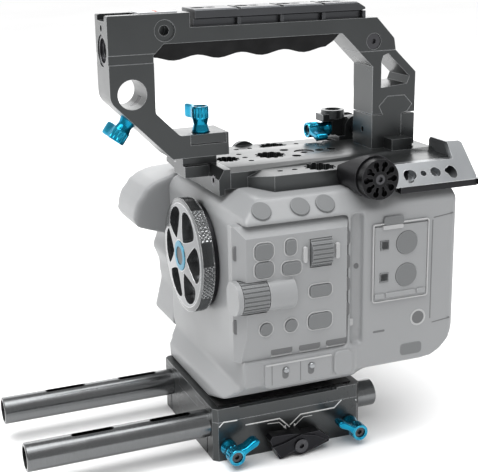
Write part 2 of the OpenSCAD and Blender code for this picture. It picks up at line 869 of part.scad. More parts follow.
// Plate that carries the camera, with its dovetail tongue, side skirts and pin groove
module camera_plate() {
    groove = slide_travel + pin_r + loose_fit;
    head_z = plate_under - tongue_h;
    color(gunmetal) difference() {
        union() {
            difference() {
                prism_z(cut_box(-base_w / 2, base_w / 2, -base_l / 2, base_l / 2, corner_cut), skirt_z,
                    plate_top);
                block(-base_w / 2 + skirt_t, base_w / 2 - skirt_t, -base_l, base_l, 0, plate_under);
            }
            prism_y([
                [-tongue_neck, plate_under + over], [-tongue_neck, plate_under], [-tongue_foot, head_z],
                [tongue_foot, head_z], [tongue_neck, plate_under], [tongue_neck, plate_under + over]],
                -base_l / 2, base_l / 2);
        }
        for (s = [-1, 1]) {
            translate([s * base_w / 2, 0, plate_top]) rotate([0, 45, 0])
                cube([rim_step, rim_gap, rim_step], center = true);
            bar_z(camera_screw_r + shaft_fit, 0, cam_z, 0, s * cam_screw_y);
            bar_z(camera_head_r + loose_fit, 0, head_z + camera_head_z, 0, s * cam_screw_y);
        }
        block(-base_w / 2 + pad_margin, base_w / 2 - pad_margin, -base_l / 2 + pad_margin,
            base_l / 2 - pad_margin,
            plate_top - pad_t + pad_proud, plate_top + over);
        slot_z(pin_r + loose_fit, release_y - groove, release_y + groove, 0, pin_top + loose_fit, pin_x);
    }
}

// Rubber pad between the plate and the camera
module plate_pad() {
    color(black) difference() {
        block(-base_w / 2 + pad_margin, base_w / 2 - pad_margin, -base_l / 2 + pad_margin,
            base_l / 2 - pad_margin,
            cam_z - pad_t, cam_z);
        for (s = [-1, 1]) bar_z(camera_screw_r + loose_fit, 0, cam_z + over, 0, s * cam_screw_y);
    }
}

// Two screws that hold the camera on the plate
module camera_screws() {
    seat = plate_under - tongue_h + camera_head_z;
    color(steel) for (s = [-1, 1]) translate([0, s * cam_screw_y, seat]) mirror([0, 0, 1])
        screw(camera_screw_r, camera_head_r, camera_head_h, cam_z + camera_screw_bite - seat,
            camera_socket_r);
}

// Outline of the control module seen from above, shared by the module and its pocket in the body
function module_outline() = [
    [cam_side - module_in, module_y0], [cam_side - module_slant, module_y0],
        [cam_side + module_out, module_y0 + module_slant],
    [cam_side + module_out, module_y1 - module_slant / 2], [cam_side - module_slant / 2, module_y1],
    [cam_side - module_in, module_y1]];

// Spaces for both wheels and their axles, cut from the body and the control module
module wheel_spaces() {
    bar_y(upper_wheel_r + wheel_gap, upper_wheel_y - wheel_gap, upper_wheel_y + upper_wheel_l + wheel_gap,
        upper_wheel_x, upper_wheel_z);
    bar_y(axle_r + shaft_fit, upper_wheel_y - axle_l - wheel_gap,
        upper_wheel_y + upper_wheel_l + axle_l + wheel_gap,
        upper_wheel_x, upper_wheel_z);
    bar_y(drum_r + wheel_gap, dial_y0 - wheel_gap, dial_y0 + dial_l + wheel_gap, drum_x, drum_z);
    bar_y(axle_r + shaft_fit, dial_y0 - axle_l - wheel_gap, dial_y0 + dial_l + axle_l + wheel_gap, drum_x,
        drum_z);
}

// Body of the camera stand-in
module camera_body() {
    top = cam_top;
    color(stand_in_grey) difference() {
        union() {
            intersection() {
                prism_x(shared(cam_side_shares, cam_l, cam_h, -cam_front, cam_z), -cam_far, cam_side);
                prism_y(outline([
                    [-cam_foot_far, cam_z, 0], [cam_foot_near, cam_z, 2],
                        [cam_side - cam_haunch_x, cam_z + cam_haunch_z, 3],
                    [cam_side, cam_z + cam_waist_z, 3], [cam_side, top - cam_shoulder, 2],
                    [cam_side - cam_shoulder, top, 2], [-cam_far + cam_shoulder, top, 3],
                    [-cam_far, top - cam_shoulder, 3], [-cam_far, cam_z + cam_waist_z, 3],
                        [-cam_foot_far, cam_z + cam_haunch_z, 2]]),
                    -cam_l, cam_l);
                prism_z(outline([
                    [-cam_far, -cam_front - cam_haunch_z, cam_corner],
                        [cam_side, -cam_front - cam_haunch_z, cam_corner],
                    [cam_side, cam_back, cam_corner], [-cam_far, cam_back, cam_corner]]), cam_z, top);
            }
            block(cam_side - module_in, cam_side + module_out, block_y0, block_y1, block_z0, block_z1);
        }
        prism_z(module_outline(), module_z0, module_z1);
        block(cam_side - cam_bay_t, cam_side + over, cam_bay_y0, cam_bay_y1, module_z0, module_z1);
        wheel_spaces();
        bar_y(throat_r, -cam_front - over, -cam_front + throat_t, 0, lens_z);
        for (s = [-1, 1]) bar_z(camera_screw_r + shaft_fit, 0, cam_z + camera_screw_bite + over, 0,
            s * cam_screw_y);
        for (p = plate_screw_places) bar_z(plate_screw_r + shaft_fit, top - plate_screw_bite - over,
            top + over, p[0], p[1]);
    }
}

// Grip of the camera stand-in, with its forward nose at the top
module camera_grip() {
    color(stand_in_grey) intersection() {
        prism_x(shared(grip_shares, cam_l, cam_h, -cam_front, cam_z), -cam_far - grip_reach, -cam_far);
        prism_z(outline([
            [-cam_far - grip_reach, -cam_l, 0], [-cam_far, -cam_l, 0], [-cam_far, cam_l / 2, 0],
            [-cam_far - grip_reach + grip_inner, cam_l / 2, 0],
                [-cam_far - grip_reach, -grip_inner, grip_inner]]),
            cam_z, cam_top);
        prism_y([[-cam_far - grip_reach, cam_z], [-cam_far, cam_z], [-cam_far, cam_top],
            [-cam_far - grip_inner, cam_top - edge], [-cam_far - grip_reach, cam_top - grip_fall]],
            -cam_l, cam_l);
    }
}

// Lens mount ring of the camera, with three gaps that let the cap's lugs through
module camera_mount() {
    color(stand_in_grey) difference() {
        bar_y(mount_r, cap_y, -cam_front, 0, lens_z);
        bar_y(mount_bore_r + shaft_fit, cap_y - over, -cam_front + over, 0, lens_z);
        intersection() {
            bar_y(lug_r + lug_gap, cap_y - over, -cam_front + over, 0, lens_z);
            for (i = [0 : lug_count - 1]) translate([0, 0, lens_z]) rotate([0, 360 / lug_count * i, 0])
                block(-lug_w / 2 - lug_gap, lug_w / 2 + lug_gap, -cam_l, cam_l, -cap_r, 0);
        }
    }
}

// Control module on the operator's side, with the drum that holds the dial
module camera_control_panel() {
    color(stand_in_grey) difference() {
        union() {
            prism_z(module_outline(), module_z0, module_z1);
            bar_y(drum_r, dial_y0 - 2 * axle_l, drum_y1, drum_x, drum_z);
        }
        wheel_spaces();
        block(0, cam_side - module_in, -cam_l, cam_l, cam_z, cam_top);
    }
}

// Keys and round buttons, which stand on the control module and on the shoulder
module camera_buttons() {
    face = cam_side + module_out;
    color(stand_in_grey) {
        for (k = key_shares)
            translate([face, k[0] * key_unit, cam_z + k[1] * cam_h])
                block(0, button_t, -k[2] * key_unit / 2, k[2] * key_unit / 2, -k[3] * key_unit / 2,
                    k[3] * key_unit / 2);
        for (y = round_button_ys) bar_x(round_button_r, face, face + button_t, y, round_button_z);
        for (y = shoulder_button_ys)
            translate([cam_side - cam_shoulder / 2, y, cam_top - cam_shoulder / 2]) rotate([0, 45, 0])
                translate([0, 0, shaft_fit]) cylinder(r = shoulder_button_r, h = button_t);
    }
}

// Ribbed wheel on its two stub axles, along Y from y = 0
module ribbed_wheel(r, l) {
    difference() {
        union() {
            bar_y(r, 0, l, 0, 0);
            bar_y(axle_r, -axle_l, l + axle_l, 0, 0);
        }
        for (i = [1 : wheel_grooves]) rotate([0, 360 / wheel_grooves * i, 0])
            block(-groove_r, groove_r, -over, l + over, r - groove_r, r + over);
    }
}
module camera_upper_wheel() {
    color(stand_in_grey) translate([upper_wheel_x, upper_wheel_y, upper_wheel_z])
        ribbed_wheel(upper_wheel_r, upper_wheel_l);
}
module camera_lower_wheel() {
    color(stand_in_grey) translate([drum_x, dial_y0, drum_z]) ribbed_wheel(drum_r, dial_l);
}

// Door over the sockets, and the caps in it
module camera_port_door() {
    color(stand_in_grey) difference() {
        block(cam_side, cam_side + door_t, door_y0, door_y1, door_z0, door_z1);
        for (z = port_zs) {
            bar_x(port_r + slide_fit, 0, cam_side + over * 2, port_y, z);
            block(0, cam_side + over * 2, plug_y - plug_w / 2 - slide_fit, plug_y + plug_w / 2 + slide_fit,
                z - plug_w / 2 - slide_fit, z + plug_w / 2 + slide_fit);
        }
    }
}
module camera_port_caps() {
    color(stand_in_grey) for (z = port_zs) {
        bar_x(port_r, cam_side, cam_side + door_t + edge / 2, port_y, z);
        block(cam_side, cam_side + door_t + edge / 2, plug_y - plug_w / 2, plug_y + plug_w / 2,
            z - plug_w / 2, z + plug_w / 2);
    }
}

// Knurled cap on the lens mount: rim, web, hub and spokes, and the spigot with its lugs
module mount_cap() {
    front = cap_y - cap_gap - cap_t;
    back = cap_y - cap_gap;
    lug_y = -cam_front + lug_gap;
    color(black) difference() {
        union() {
            bar_y(cap_r, front, back, 0, lens_z);
            bar_y(mount_bore_r, back - over, lug_y + lug_t, 0, lens_z);
            intersection() {
                bar_y(lug_r, lug_y, lug_y + lug_t, 0, lens_z);
                for (i = [0 : lug_count - 1]) translate([0, 0, lens_z]) rotate([0, 360 / lug_count * i, 0])
                    block(-lug_w / 2, lug_w / 2, -cam_l, cam_l, 0, cap_r);
            }
        }
        difference() {
            bar_y(cap_r - cap_rim, front - over, back - cap_web, 0, lens_z);
            bar_y(cap_hub_r, front, back, 0, lens_z);
            for (i = [0 : cap_spokes - 1]) translate([0, 0, lens_z]) rotate([0, 360 / cap_spokes * i, 0])
                block(-cap_spoke_w / 2, cap_spoke_w / 2, -cam_l, cam_l, 0, cap_r);
        }
        bar_y(badge_r + slide_fit, front - over, front + badge_t, 0, lens_z);
        bar_y(mount_bore_r - spigot_wall, back + over, 0, 0, lens_z);
    }
}

// Round badge let into the hub of the cap, plain
module cap_badge() {
    front = cap_y - cap_gap - cap_t;
    color(blue) bar_y(badge_r, front - badge_t / 2, front + badge_t, 0, lens_z);
}

// Large locating hole: a scalloped rim over a through hole
module scalloped_hole(r, x, y, z1) {
    bar_z(r - scallop_r, cam_top - over, z1 + over, x, y);
    for (i = [1 : scallop_count])
        bar_z(scallop_r, z1 - big_hole_depth, z1 + over,
            x + (r - scallop_r) * cos(360 / scallop_count * i),
                y + (r - scallop_r) * sin(360 / scallop_count * i));
}

// Top plate with a raised middle lane, threaded holes and the lug beside the rear shoe
module top_plate() {
    half = lane_w / 2;
    front = -top_front + bridge_t;
    color(gunmetal) difference() {
        union() {
            prism_y([
                [-top_w / 2, cam_top], [top_w / 2, cam_top], [top_w / 2, lane_z], [half + lane_slope, lane_z],
                [half, mid_z], [-half, mid_z], [-half - lane_slope, lane_z], [-top_w / 2, lane_z]], front,
                    top_back);
            block(lug_block_x0, lug_block_x1, lug_block_y0, lug_block_y1, lane_z, mid_z + lug_block_h);
            difference() {
                bar_x(hump_r, -top_w / 2 - hump_w, -top_w / 2 + over, hump_y, lane_z - hump_drop);
                block(-top_w, top_w, -cam_l, cam_l, cam_z, cam_top);
            }
        }
        for (s = [-1, 1]) {
            prism_x([
                [front - over, lane_z - ramp_drop], [-top_front + ramp_y, lane_z],
                    [-top_front + ramp_y, mid_z + over],
                [front - over, mid_z + over]],
                s > 0 ? bridge_near : -top_w, s > 0 ? top_w : -bridge_near);
            prism_z([
                [s * bridge_near, -top_front], [s * top_w, -top_front], [s * top_w / 2, -top_front + ramp_y],
                [s * bridge_near, -top_front + ramp_in]], cam_top - over, mid_z + over);
            scalloped_hole(big_hole_r, s * lane_x, lane_hole_y, lane_z);
            for (y = lane_small_ys) bar_z(small_thread_r, cam_top - over, lane_z + over, s * lane_x, y);
            bar_z(thread_14_r, cam_top - over, mid_z + over, s * pair_x, pair_y);
            bar_z(small_thread_r, cam_top - over, mid_z + over, s * row_step, row_y);
        }
        scalloped_hole(mid_hole_r, 0, mid_hole_y, mid_z);
        scalloped_hole(big_hole_r, 0, big_hole_y, mid_z);
        bar_z(small_thread_r, cam_top - over, mid_z + over, 0, row_y);
        for (y = [tail_y, tail_y + tail_step]) bar_z(thread_14_r, cam_top - over, mid_z + over, 0, y);
        for (p = plate_screw_places) {
            bar_z(plate_screw_r + shaft_fit, cam_top - over, p[2] + over, p[0], p[1]);
            bar_z(screw_14_head_r + loose_fit, p[2] - plate_screw_head_h, p[2] + over, p[0], p[1]);
        }
        for (y = shoe_screw_ys) bar_z(shoe_screw_r + shaft_fit, cam_top - over, mid_z + over, 0, y);
        for (y = shoe_screw_ys) bar_z(shoe_screw_head_r + loose_fit, cam_top - over,
            cam_top + shoe_screw_head_h, 0, y);
        for (y = bracket_screw_ys) bar_x(bracket_screw_r + shaft_fit, top_w / 4, top_w, y, bracket_screw_z);
        for (s = [-1, 1]) bar_y(bridge_screw_r + shaft_fit, -top_front, front + bridge_screw_bite,
            s * bridge_screw_x, bridge_screw_z);
        for (y = arm_screw_ys) bar_z(arm_screw_r, cam_top - over, lane_z + over, -arm_x, y);
    }
}

// Cross piece at the front of the top plate, which reaches over the grip and carries the handle's rail
module front_bridge() {
    y0 = -top_front;
    y1 = -top_front + bridge_t;
    rail_y1 = y0 - bridge_nose_l + rail_l;
    color(gunmetal) difference() {
        union() {
            intersection() {
                prism_x([
                    [y0, cam_top - bridge_drop], [y0 + bridge_t / 2, cam_top - bridge_drop],
                        [y0 + bridge_t / 2, cam_top],
                    [y1, cam_top], [y1, mid_z], [y0 + bridge_slope_y, mid_z], [y0, mid_z - bridge_slope_z]],
                    -bridge_far, bridge_near);
                prism_y([
                    [bridge_near, cam_top - bridge_drop], [bridge_near, mid_z], [-lane_w, mid_z],
                    [-bridge_far, cam_top + bridge_rise], [-bridge_far, cam_top - bridge_rise],
                    [-lane_w, cam_top - bridge_drop]], y0, y1);
            }
            block(-bridge_nose_w / 2, bridge_nose_w / 2, y0 - bridge_nose_l, y0 + over,
                mid_z - bridge_nose_h, mid_z);
            prism_y([
                [-rail_neck, mid_z - over], [-rail_neck, mid_z + rail_neck_h],
                    [-rail_head, mid_z + rail_neck_h + rail_slope],
                [-rail_head, mid_z + rail_head_h], [rail_head, mid_z + rail_head_h],
                [rail_head, mid_z + rail_neck_h + rail_slope], [rail_neck, mid_z + rail_neck_h],
                    [rail_neck, mid_z - over]],
                y0 - bridge_nose_l, rail_y1);
        }
        for (s = [-1, 1]) {
            bar_y(bridge_screw_r + shaft_fit, -top_w, y1 + over, s * bridge_screw_x, bridge_screw_z);
            bar_y(bridge_screw_head_r + slide_fit, -top_w, y0 + bridge_screw_head_h, s * bridge_screw_x,
                bridge_screw_z);
        }
    }
}

// Screws of the top plate: flat heads down into the camera, the bridge's screws and those of the rear shoe
module top_plate_screws() {
    color(steel) {
        for (p = plate_screw_places) translate([p[0], p[1], p[2] - plate_screw_head_h])
            screw(plate_screw_r, screw_14_head_r, plate_screw_head_h - edge / 2,
                p[2] - plate_screw_head_h - cam_top + plate_screw_bite, camera_socket_r);
        for (s = [-1, 1])
            translate([s * bridge_screw_x, -top_front + bridge_screw_head_h, bridge_screw_z])
                rotate([90, 0, 0])
                screw(bridge_screw_r, bridge_screw_head_r, bridge_screw_head_h,
                    bridge_t - bridge_screw_head_h + bridge_screw_bite - over, bolt_socket_r);
        for (y = shoe_screw_ys) translate([0, y, cam_top + shoe_screw_head_h]) mirror([0, 0, 1])
            screw(shoe_screw_r, shoe_screw_head_r, shoe_screw_head_h - edge / 2,
                mid_z - cam_top - shoe_screw_head_h + shoe_screw_bite - over, bolt_socket_r);
    }
}

// Silver bracket with a sloped face, an ear at its back and a closing wall behind the plate
module side_bracket() {
    y1 = top_back + wall_t - over;
    y0 = y1 - bracket_l;
    root = top_w / 2;
    color(satin_silver) difference() {
        union() {
            translate([bracket_x, 0, bracket_z]) rotate([0, -45, 0])
                prism_x([
                    [y0, 0], [y1 - ear_cut, 0], [y1, ear_cut], [y1, ear_rise - ear_cut],
                    [y1 - ear_cut, ear_rise], [y1 - ear_l, ear_rise],
                    [y1 - ear_l - ear_slope, bracket_rise], [y0, bracket_rise]], -bracket_t, 0);
            prism_y([
                [root, bracket_z], [bracket_x - over, bracket_z],
                    [bracket_x - bracket_root + over, lane_z], [root, lane_z]],
                y0, top_back);
            prism_y([
                [wall_x0, cam_top], [bracket_x - bracket_t, cam_top],
                [bracket_x - bracket_t - wall_h, cam_top + wall_h], [wall_x0 + ear_cut, cam_top + wall_h],
                [wall_x0, cam_top + wall_h - ear_cut]], top_back, y1);
        }
        for (i = [0 : 3])
            translate([bracket_x - bracket_rise / 2 * cos(45), y0 + bracket_hole_y + i * bracket_hole_step,
                bracket_z + bracket_rise / 2 * sin(45)]) rotate([0, 45, 0])
                translate([0, 0, -bracket_t - edge])
                    cylinder(r = i % 2 == 0 ? bracket_hole_r : bracket_pin_r, h = bracket_t + 2 * edge);
        for (y = bracket_screw_ys) {
            bar_x(bracket_screw_r + shaft_fit, 0, top_w, y, bracket_screw_z);
            bar_x(bracket_screw_head_r + slide_fit, root + bracket_screw_seat, top_w, y, bracket_screw_z);
        }
        bar_x(housing_r + loose_fit, 0, top_w, knob_y, knob_z);
        block(0, top_w, -cam_l, 2 * cam_l, cam_z, cam_top);
    }
}

// Screws that hold the side bracket on the edge of the top plate
module bracket_screws() {
    seat = top_w / 2 + bracket_screw_seat;
    color(steel) for (y = bracket_screw_ys) translate([seat, y, bracket_screw_z]) rotate([0, 90, 0])
        screw(bracket_screw_r, bracket_screw_head_r, bracket_screw_head_h, seat - top_w / 4 - over,
            bolt_socket_r);
}

// Housing that carries the knob's spindle, sloped above to clear the plate and below to clear the camera
module knob_housing() {
    x1 = cam_side + over;
    x0 = top_w / 2;
    color(black) difference() {
        bar_x(housing_r, x0, x1, knob_y, knob_z);
        prism_y([
            [x0 - over, mid_z], [x1 - housing_slope, knob_z + housing_r],
                [x0 - over, knob_z + 2 * housing_r]], -cam_l, cam_l);
        prism_y([
            [x0 - over, cam_top + loose_fit], [cam_side - cam_shoulder + loose_fit, cam_top + loose_fit],
            [cam_side + loose_fit, cam_top - cam_shoulder + loose_fit], [x0 - over, cam_z]], -cam_l, cam_l);
        bar_x(spindle_r + shaft_fit, x0 + spindle_end - over, x1 + over, knob_y, knob_z);
    }
}

// Thumb knob with a ring of pockets in its face
module thumb_knob() {
    x0 = cam_side + over + loose_fit;
    x1 = x0 + knob_t;
    color(black) difference() {
        bar_x(knob_r, x0, x1, knob_y, knob_z);
        for (i = [1 : knob_pockets]) translate([0, knob_y, knob_z]) rotate([360 / knob_pockets * i, 0, 0]) {
            bar_x(knob_pocket_r, x1 - knob_pocket_depth, x1 + over, knob_r - knob_pocket_r - edge, 0);
            block(x1 - knob_pocket_depth, x1 + over, knob_hub_r + edge, knob_r - knob_pocket_r - edge,
                -knob_pocket_r / 2, knob_pocket_r / 2);
        }
        bar_x(spindle_r, 0, x1 + over, knob_y, knob_z);
    }
}

// Spindle of the thumb knob, with a socket in its end
module knob_spindle() {
    x1 = cam_side + over + loose_fit + knob_t;
    color(steel) difference() {
        bar_x(spindle_r, top_w / 2 + spindle_end, x1, knob_y, knob_z);
        translate([x1 - socket_h, knob_y, knob_z]) rotate([0, 90, 0])
            cylinder(r = bolt_socket_r, h = socket_h + over, $fn = 6);
    }
}

// Strip under the bracket with the bore that holds the stowed key
module tool_holder() {
    y1 = top_back + wall_t - over;
    color(black) difference() {
        block(bracket_x - over - holder_w, bracket_x - over, y1 - holder_l, y1, bracket_z - holder_t,
            bracket_z);
        bar_y(tool_r + shaft_fit, y1 - holder_l + edge, y1 + over, bracket_x - over - holder_w / 2,
            bracket_z - holder_t / 2);
    }
}

// Hexagon key, stowed in its holder with the bent foot at the back
module hex_tool() {
    y1 = top_back + wall_t - over;
    x = bracket_x - over - holder_w / 2;
    z = bracket_z - holder_t / 2;
    color(steel) union() {
        bar_y(tool_r, y1 - tool_l, y1 + edge / 2 + 2 * tool_r, x, z);
        block(x - tool_r, x + tool_foot, y1 + edge / 2, y1 + edge / 2 + 2 * tool_r, z - tool_r, z + tool_r);
    }
}

// Place on the axis of the clamp bolt, which passes behind and below the rod hole of the handle
module rod_clamp_place(out) {
    translate([0, -nose_y + rod_hole_y, mid_z + rod_hole_rise]) rotate([90 + clamp_tilt, 0, 0])
        translate([0, -clamp_aside, out]) children();
}

// Front post, top bar and foot of the handle
module handle_frame() {
    y0 = -nose_y;
    y_in = -nose_y + post_d;
    foot_y = -foot_back;
    rod_y = y0 + rod_hole_y;
    rod_zc = mid_z + rod_hole_rise;
    color(gunmetal) difference() {
        prism_x(outline([
            [y0, nose_z, 1], [y0 + nose_l, nose_z, 0], [y0 + nose_l, bar_z, 0], [bar_back_y, bar_z, 1],
            [bar_end_y - edge, mid_z + bar_end_rise, 3], [bar_end_y, mid_z + seam_rise, 0],
                [seam_y, mid_z + seam_rise, 0],
            [seam_y - (under_z - mid_z - seam_rise), under_z, 2], [y_in + post_chamfer, under_z, 0],
            [y_in, under_z - post_chamfer, 0], [y_in, mid_z + post_in_rise, 2],
            [y_in + post_in_rise - foot_top, mid_z + foot_top, 3], [foot_y, mid_z + foot_top, 0],
            [foot_y, mid_z + foot_bottom, 0], [slope_y - foot_bottom, mid_z + foot_bottom, 0],
            [y0, mid_z + slope_y + nose_y, post_round]]), -hw, hw);
        bar_x(bore_r, -top_w, top_w, rod_y, rod_zc);
        rod_clamp_place(-shoe_top - loose_fit) cylinder(r = shoe_r + slide_fit, h = 2 * clamp_face);
        rod_clamp_place(clamp_face) cylinder(r = hub_r + lever_gap, h = hub_r);
        bar_z(hub_r + lever_gap, mid_z + foot_top - lever_sink, mid_z + foot_top + over, jaw_lever_x,
            -jaw_lever_y);
        block(-nose_groove_w / 2, nose_groove_w / 2, y0 - over, y0 + nose_groove_l, nose_z - nose_groove_t,
            nose_z + over);
        block(-button_w / 2 - slide_fit, button_w / 2 + slide_fit, y0 + nose_groove_l + edge - slide_fit,
            y0 + nose_groove_l + edge + button_l + slide_fit,
                nose_z - button_h - button_travel - loose_fit, nose_z + over);
        bar_z(button_spring_r + loose_fit, nose_z - button_h - button_spring_h + button_proud, nose_z, 0,
            button_y);
        bar_y(port_insert_r, y0 - over, y0 + port_insert_t, 0, mid_z + port_rise);
        bar_y(thread_38_r, y0 - over, y0 + port_depth, 0, mid_z + port_rise);
        bar_y(pin_hole_r, y0 - over, y0 + pin_hole_depth, 0, mid_z + pin_hole_rise);
        for (s = [-1, 1]) {
            bar_x(side_port_r, s * (hw + over - side_port_t / 2) - side_port_t / 2 - over / 2,
                s * (hw + over - side_port_t / 2) + side_port_t / 2 + over / 2, y0 + side_port_in,
                    mid_z + side_port_rise);
            bar_x(thread_14_r, s * (hw + side_port_inner) / 2 - (hw - side_port_inner) / 2 - over,
                s * (hw + side_port_inner) / 2 + (hw - side_port_inner) / 2 + over,
                y0 + side_port_in, mid_z + side_port_rise);
            block(s * hw - band_t, s * hw + band_t, y0 - over, y_in + over, mid_z + band_rise,
                mid_z + band_rise + band_h);
        }
        for (y = rail_screw_ys) bar_z(rail_screw_r + shaft_fit, bar_z - rail_screw_bite - over,
            bar_z + over, 0, y);
        bar_z(tower_screw_r + shaft_fit, mid_z, mid_z + seam_rise + tower_screw_bite + over, 0,
            tower_y + tower_screw_y);
        for (y = grip_screw_ys) bar_z(grip_screw_r, under_z - over, under_z + grip_screw_bite, 0, y);
        prism_y([
            [-rail_neck - slide_fit, mid_z - over], [-rail_neck - slide_fit, mid_z + rail_neck_h - slide_fit],
            [-rail_head - slide_fit, mid_z + rail_neck_h + rail_slope - slide_fit],
            [-rail_head - slide_fit, mid_z + rail_head_h + slide_fit + jaw_tongue_t + jaw_play],
            [rail_head + slide_fit, mid_z + rail_head_h + slide_fit + jaw_tongue_t + jaw_play],
            [rail_head + slide_fit, mid_z + rail_neck_h + rail_slope - slide_fit],
            [rail_neck + slide_fit, mid_z + rail_neck_h - slide_fit], [rail_neck + slide_fit, mid_z - over]],
            -top_front - bridge_nose_l - loose_fit, top_back);
        block(rail_head - edge - slide_fit, hw + over, -jaw_y0 - slide_fit, -jaw_y1 + slide_fit,
            mid_z + foot_top - jaw_drop - jaw_play, mid_z + foot_top + over);
        bar_z(bolt_r + shaft_fit, mid_z + rail_head_h, mid_z + foot_top + over, jaw_lever_x, -jaw_lever_y);
        for (s = [-1, 1]) translate([s * hw, side_bolt_y, mid_z + side_bolt_rise]) rotate([0, s * 90, 0]) {
            translate([0, 0, -side_bolt_head_h])
                cylinder(r = side_bolt_head_r + slide_fit, h = 2 * side_bolt_head_h);
            translate([0, 0, -side_bolt_head_h - hw / 2 - slide_fit])
                cylinder(r = side_bolt_r + shaft_fit, h = hw);
        }
    }
}

// Jaw let into the foot of the handle: a tongue over the rail's head and a panel on the operator's side
module front_jaw() {
    z0 = mid_z + rail_head_h + slide_fit + jaw_play;
    color(gunmetal) difference() {
        union() {
            block(-rail_head, rail_head, -jaw_y0, -jaw_y1, z0, z0 + jaw_tongue_t - slide_fit);
            block(rail_head - edge, hw, -jaw_y0, -jaw_y1, mid_z + foot_top - jaw_drop, mid_z + foot_top);
        }
        bar_z(hub_r + lever_gap, mid_z + foot_top - lever_sink, mid_z + foot_top + over, jaw_lever_x,
            -jaw_lever_y);
    }
}
module jaw_lever_place() {
    translate([jaw_lever_x, -jaw_lever_y, mid_z + foot_top - lever_sink + loose_fit]) children();
}
module front_jaw_lever() { color(blue) jaw_lever_place() rotate([0, 0, jaw_wing_angle]) clamp_lever(); }
module front_jaw_bolt() {
    reach = loose_fit - lever_sink + foot_top - rail_head_h - slide_fit - jaw_play - jaw_tongue_t;
    color(steel) jaw_lever_place() clamp_bolt(reach);
}

// Shoe, lever and bolt that clamp a rod in the handle's hole: the bolt draws the notched shoe along the rod
module rod_clamp_shoe() {
    top = clamp_face - shoe_gap;
    color(black) difference() {
        rod_clamp_place(-shoe_top) cylinder(r = shoe_r, h = shoe_top + top);
        rod_clamp_place(top - shoe_bite - edge) cylinder(r = bolt_r + shaft_fit, h = shoe_bite + 2 * edge);
        bar_x(bore_r + shaft_fit, -top_w, top_w, -nose_y + rod_hole_y, mid_z + rod_hole_rise);
    }
}
module rod_clamp_lever() {
    color(blue) rod_clamp_place(clamp_face + loose_fit) rotate([0, 0, clamp_wing_angle]) clamp_lever();
}
module rod_clamp_bolt() {
    color(steel) rod_clamp_place(clamp_face + loose_fit)
        clamp_bolt(loose_fit + shoe_gap + shoe_bite);
}

// Finger grip under the bar: tapered from side to side, with a waved lower edge
module finger_grip() {
    y0 = -nose_y + post_d;
    y1 = seam_y - (under_z - mid_z - seam_rise);
    span = y1 - y0;
    steps = grip_waves * 8;
    color(black) difference() {
        intersection() {
            prism_x(concat(
                [[y1 - edge, under_z], [y0 + post_chamfer, under_z],
                    [y0 + slide_fit, under_z - post_chamfer]],
                [for (i = [0 : steps])
                    [y0 + slide_fit + (span - grip_h) * i / steps,
                        under_z - grip_h + grip_wave * cos(360 * i * grip_waves / steps)]],
                [[y1 - grip_h / 2, under_z - grip_h / 2]]), -hw, hw);
            prism_y([
                [-hw + edge, under_z], [-grip_bottom_w / 2, under_z - grip_h - grip_wave],
                [grip_bottom_w / 2, under_z - grip_h - grip_wave], [hw - edge, under_z]], -nose_y, tower_y);
        }
        for (y = grip_screw_ys) {
            bar_z(grip_screw_r + shaft_fit, 0, bar_z, 0, y);
            bar_z(grip_screw_head_r + slide_fit, 0, under_z - grip_screw_seat, 0, y);
        }
    }
}

// Accessory rail along the top of the handle
module top_rail() {
    z1 = bar_z + rail_foot_h;
    z2 = z1 + rail_cap_h;
    color(black) difference() {
        union() {
            block(-rail_foot_w / 2, rail_foot_w / 2, rail_y0, rail_y1, bar_z, z1 + over);
            prism_x([
                [rail_y0, z1], [rail_y1 - rail_end_slope, z1], [rail_y1, z1 + edge], [rail_y1, z1 + 2 * edge],
                [rail_y1 - rail_end_slope, z2], [rail_y0, z2]], -rail_cap_w / 2, rail_cap_w / 2);
        }
        for (i = [1 : rail_ribs]) {
            translate([0, rail_y0 + i * rail_rib_step, z2])
                block(-rail_cap_w, rail_cap_w, -rail_rib_w / 2, rail_rib_w / 2, -rail_rib_t, over);
            bar_z(thread_14_r, bar_z - over, z2 + over, 0, rail_y0 + (i - 1 / 2) * rail_rib_step);
        }
        for (s = [-1, 1]) for (a = [0 : 1])
            translate([s * rail_cap_w / 2, 0, z1 + a * rail_cap_h]) rotate([0, 45, 0])
                cube([edge, 2 * top_back, edge], center = true);
        for (y = rail_screw_ys) {
            bar_z(rail_screw_r + shaft_fit, bar_z - over, z2 + over, 0, y);
            bar_z(rail_screw_head_r + slide_fit, z2 - rail_screw_head_h - edge, z2 + over, 0, y);
        }
    }
}

// Screws of the handle: in the top rail, in the finger grip and between the tower and the bar
module handle_screws() {
    seat = bar_z + rail_foot_h + rail_cap_h - rail_screw_head_h - edge;
    color(steel) {
        for (y = rail_screw_ys) translate([0, y, seat])
            screw(rail_screw_r, rail_screw_head_r, rail_screw_head_h, seat - bar_z + rail_screw_bite,
                bolt_socket_r);
        for (y = grip_screw_ys) translate([0, y, under_z - grip_screw_seat]) mirror([0, 0, 1])
            screw(grip_screw_r - shaft_fit, grip_screw_head_r, grip_screw_head_h,
                grip_screw_seat + grip_screw_bite - edge, bolt_socket_r * 3 / 4);
        translate([0, tower_y + tower_screw_y, mid_z + seam_rise - tower_seat]) mirror([0, 0, 1])
            screw(tower_screw_r, tower_screw_head_r, tower_screw_head_h, tower_seat + tower_screw_bite,
                bolt_socket_r);
        for (s = [-1, 1]) translate([s * (hw - side_bolt_head_h), side_bolt_y, mid_z + side_bolt_rise])
            rotate([0, s * 90, 0])
            screw(side_bolt_r, side_bolt_head_r, side_bolt_head_h - edge / 2, hw / 2, bolt_socket_r);
        translate([0, tower_y + tower_d - side_bolt_head_h, mid_z + jaw_screw_rise]) rotate([-90, 0, 0])
            screw(side_bolt_r, side_bolt_head_r, side_bolt_head_h - edge / 2, tower_d / 3, bolt_socket_r);
    }
}

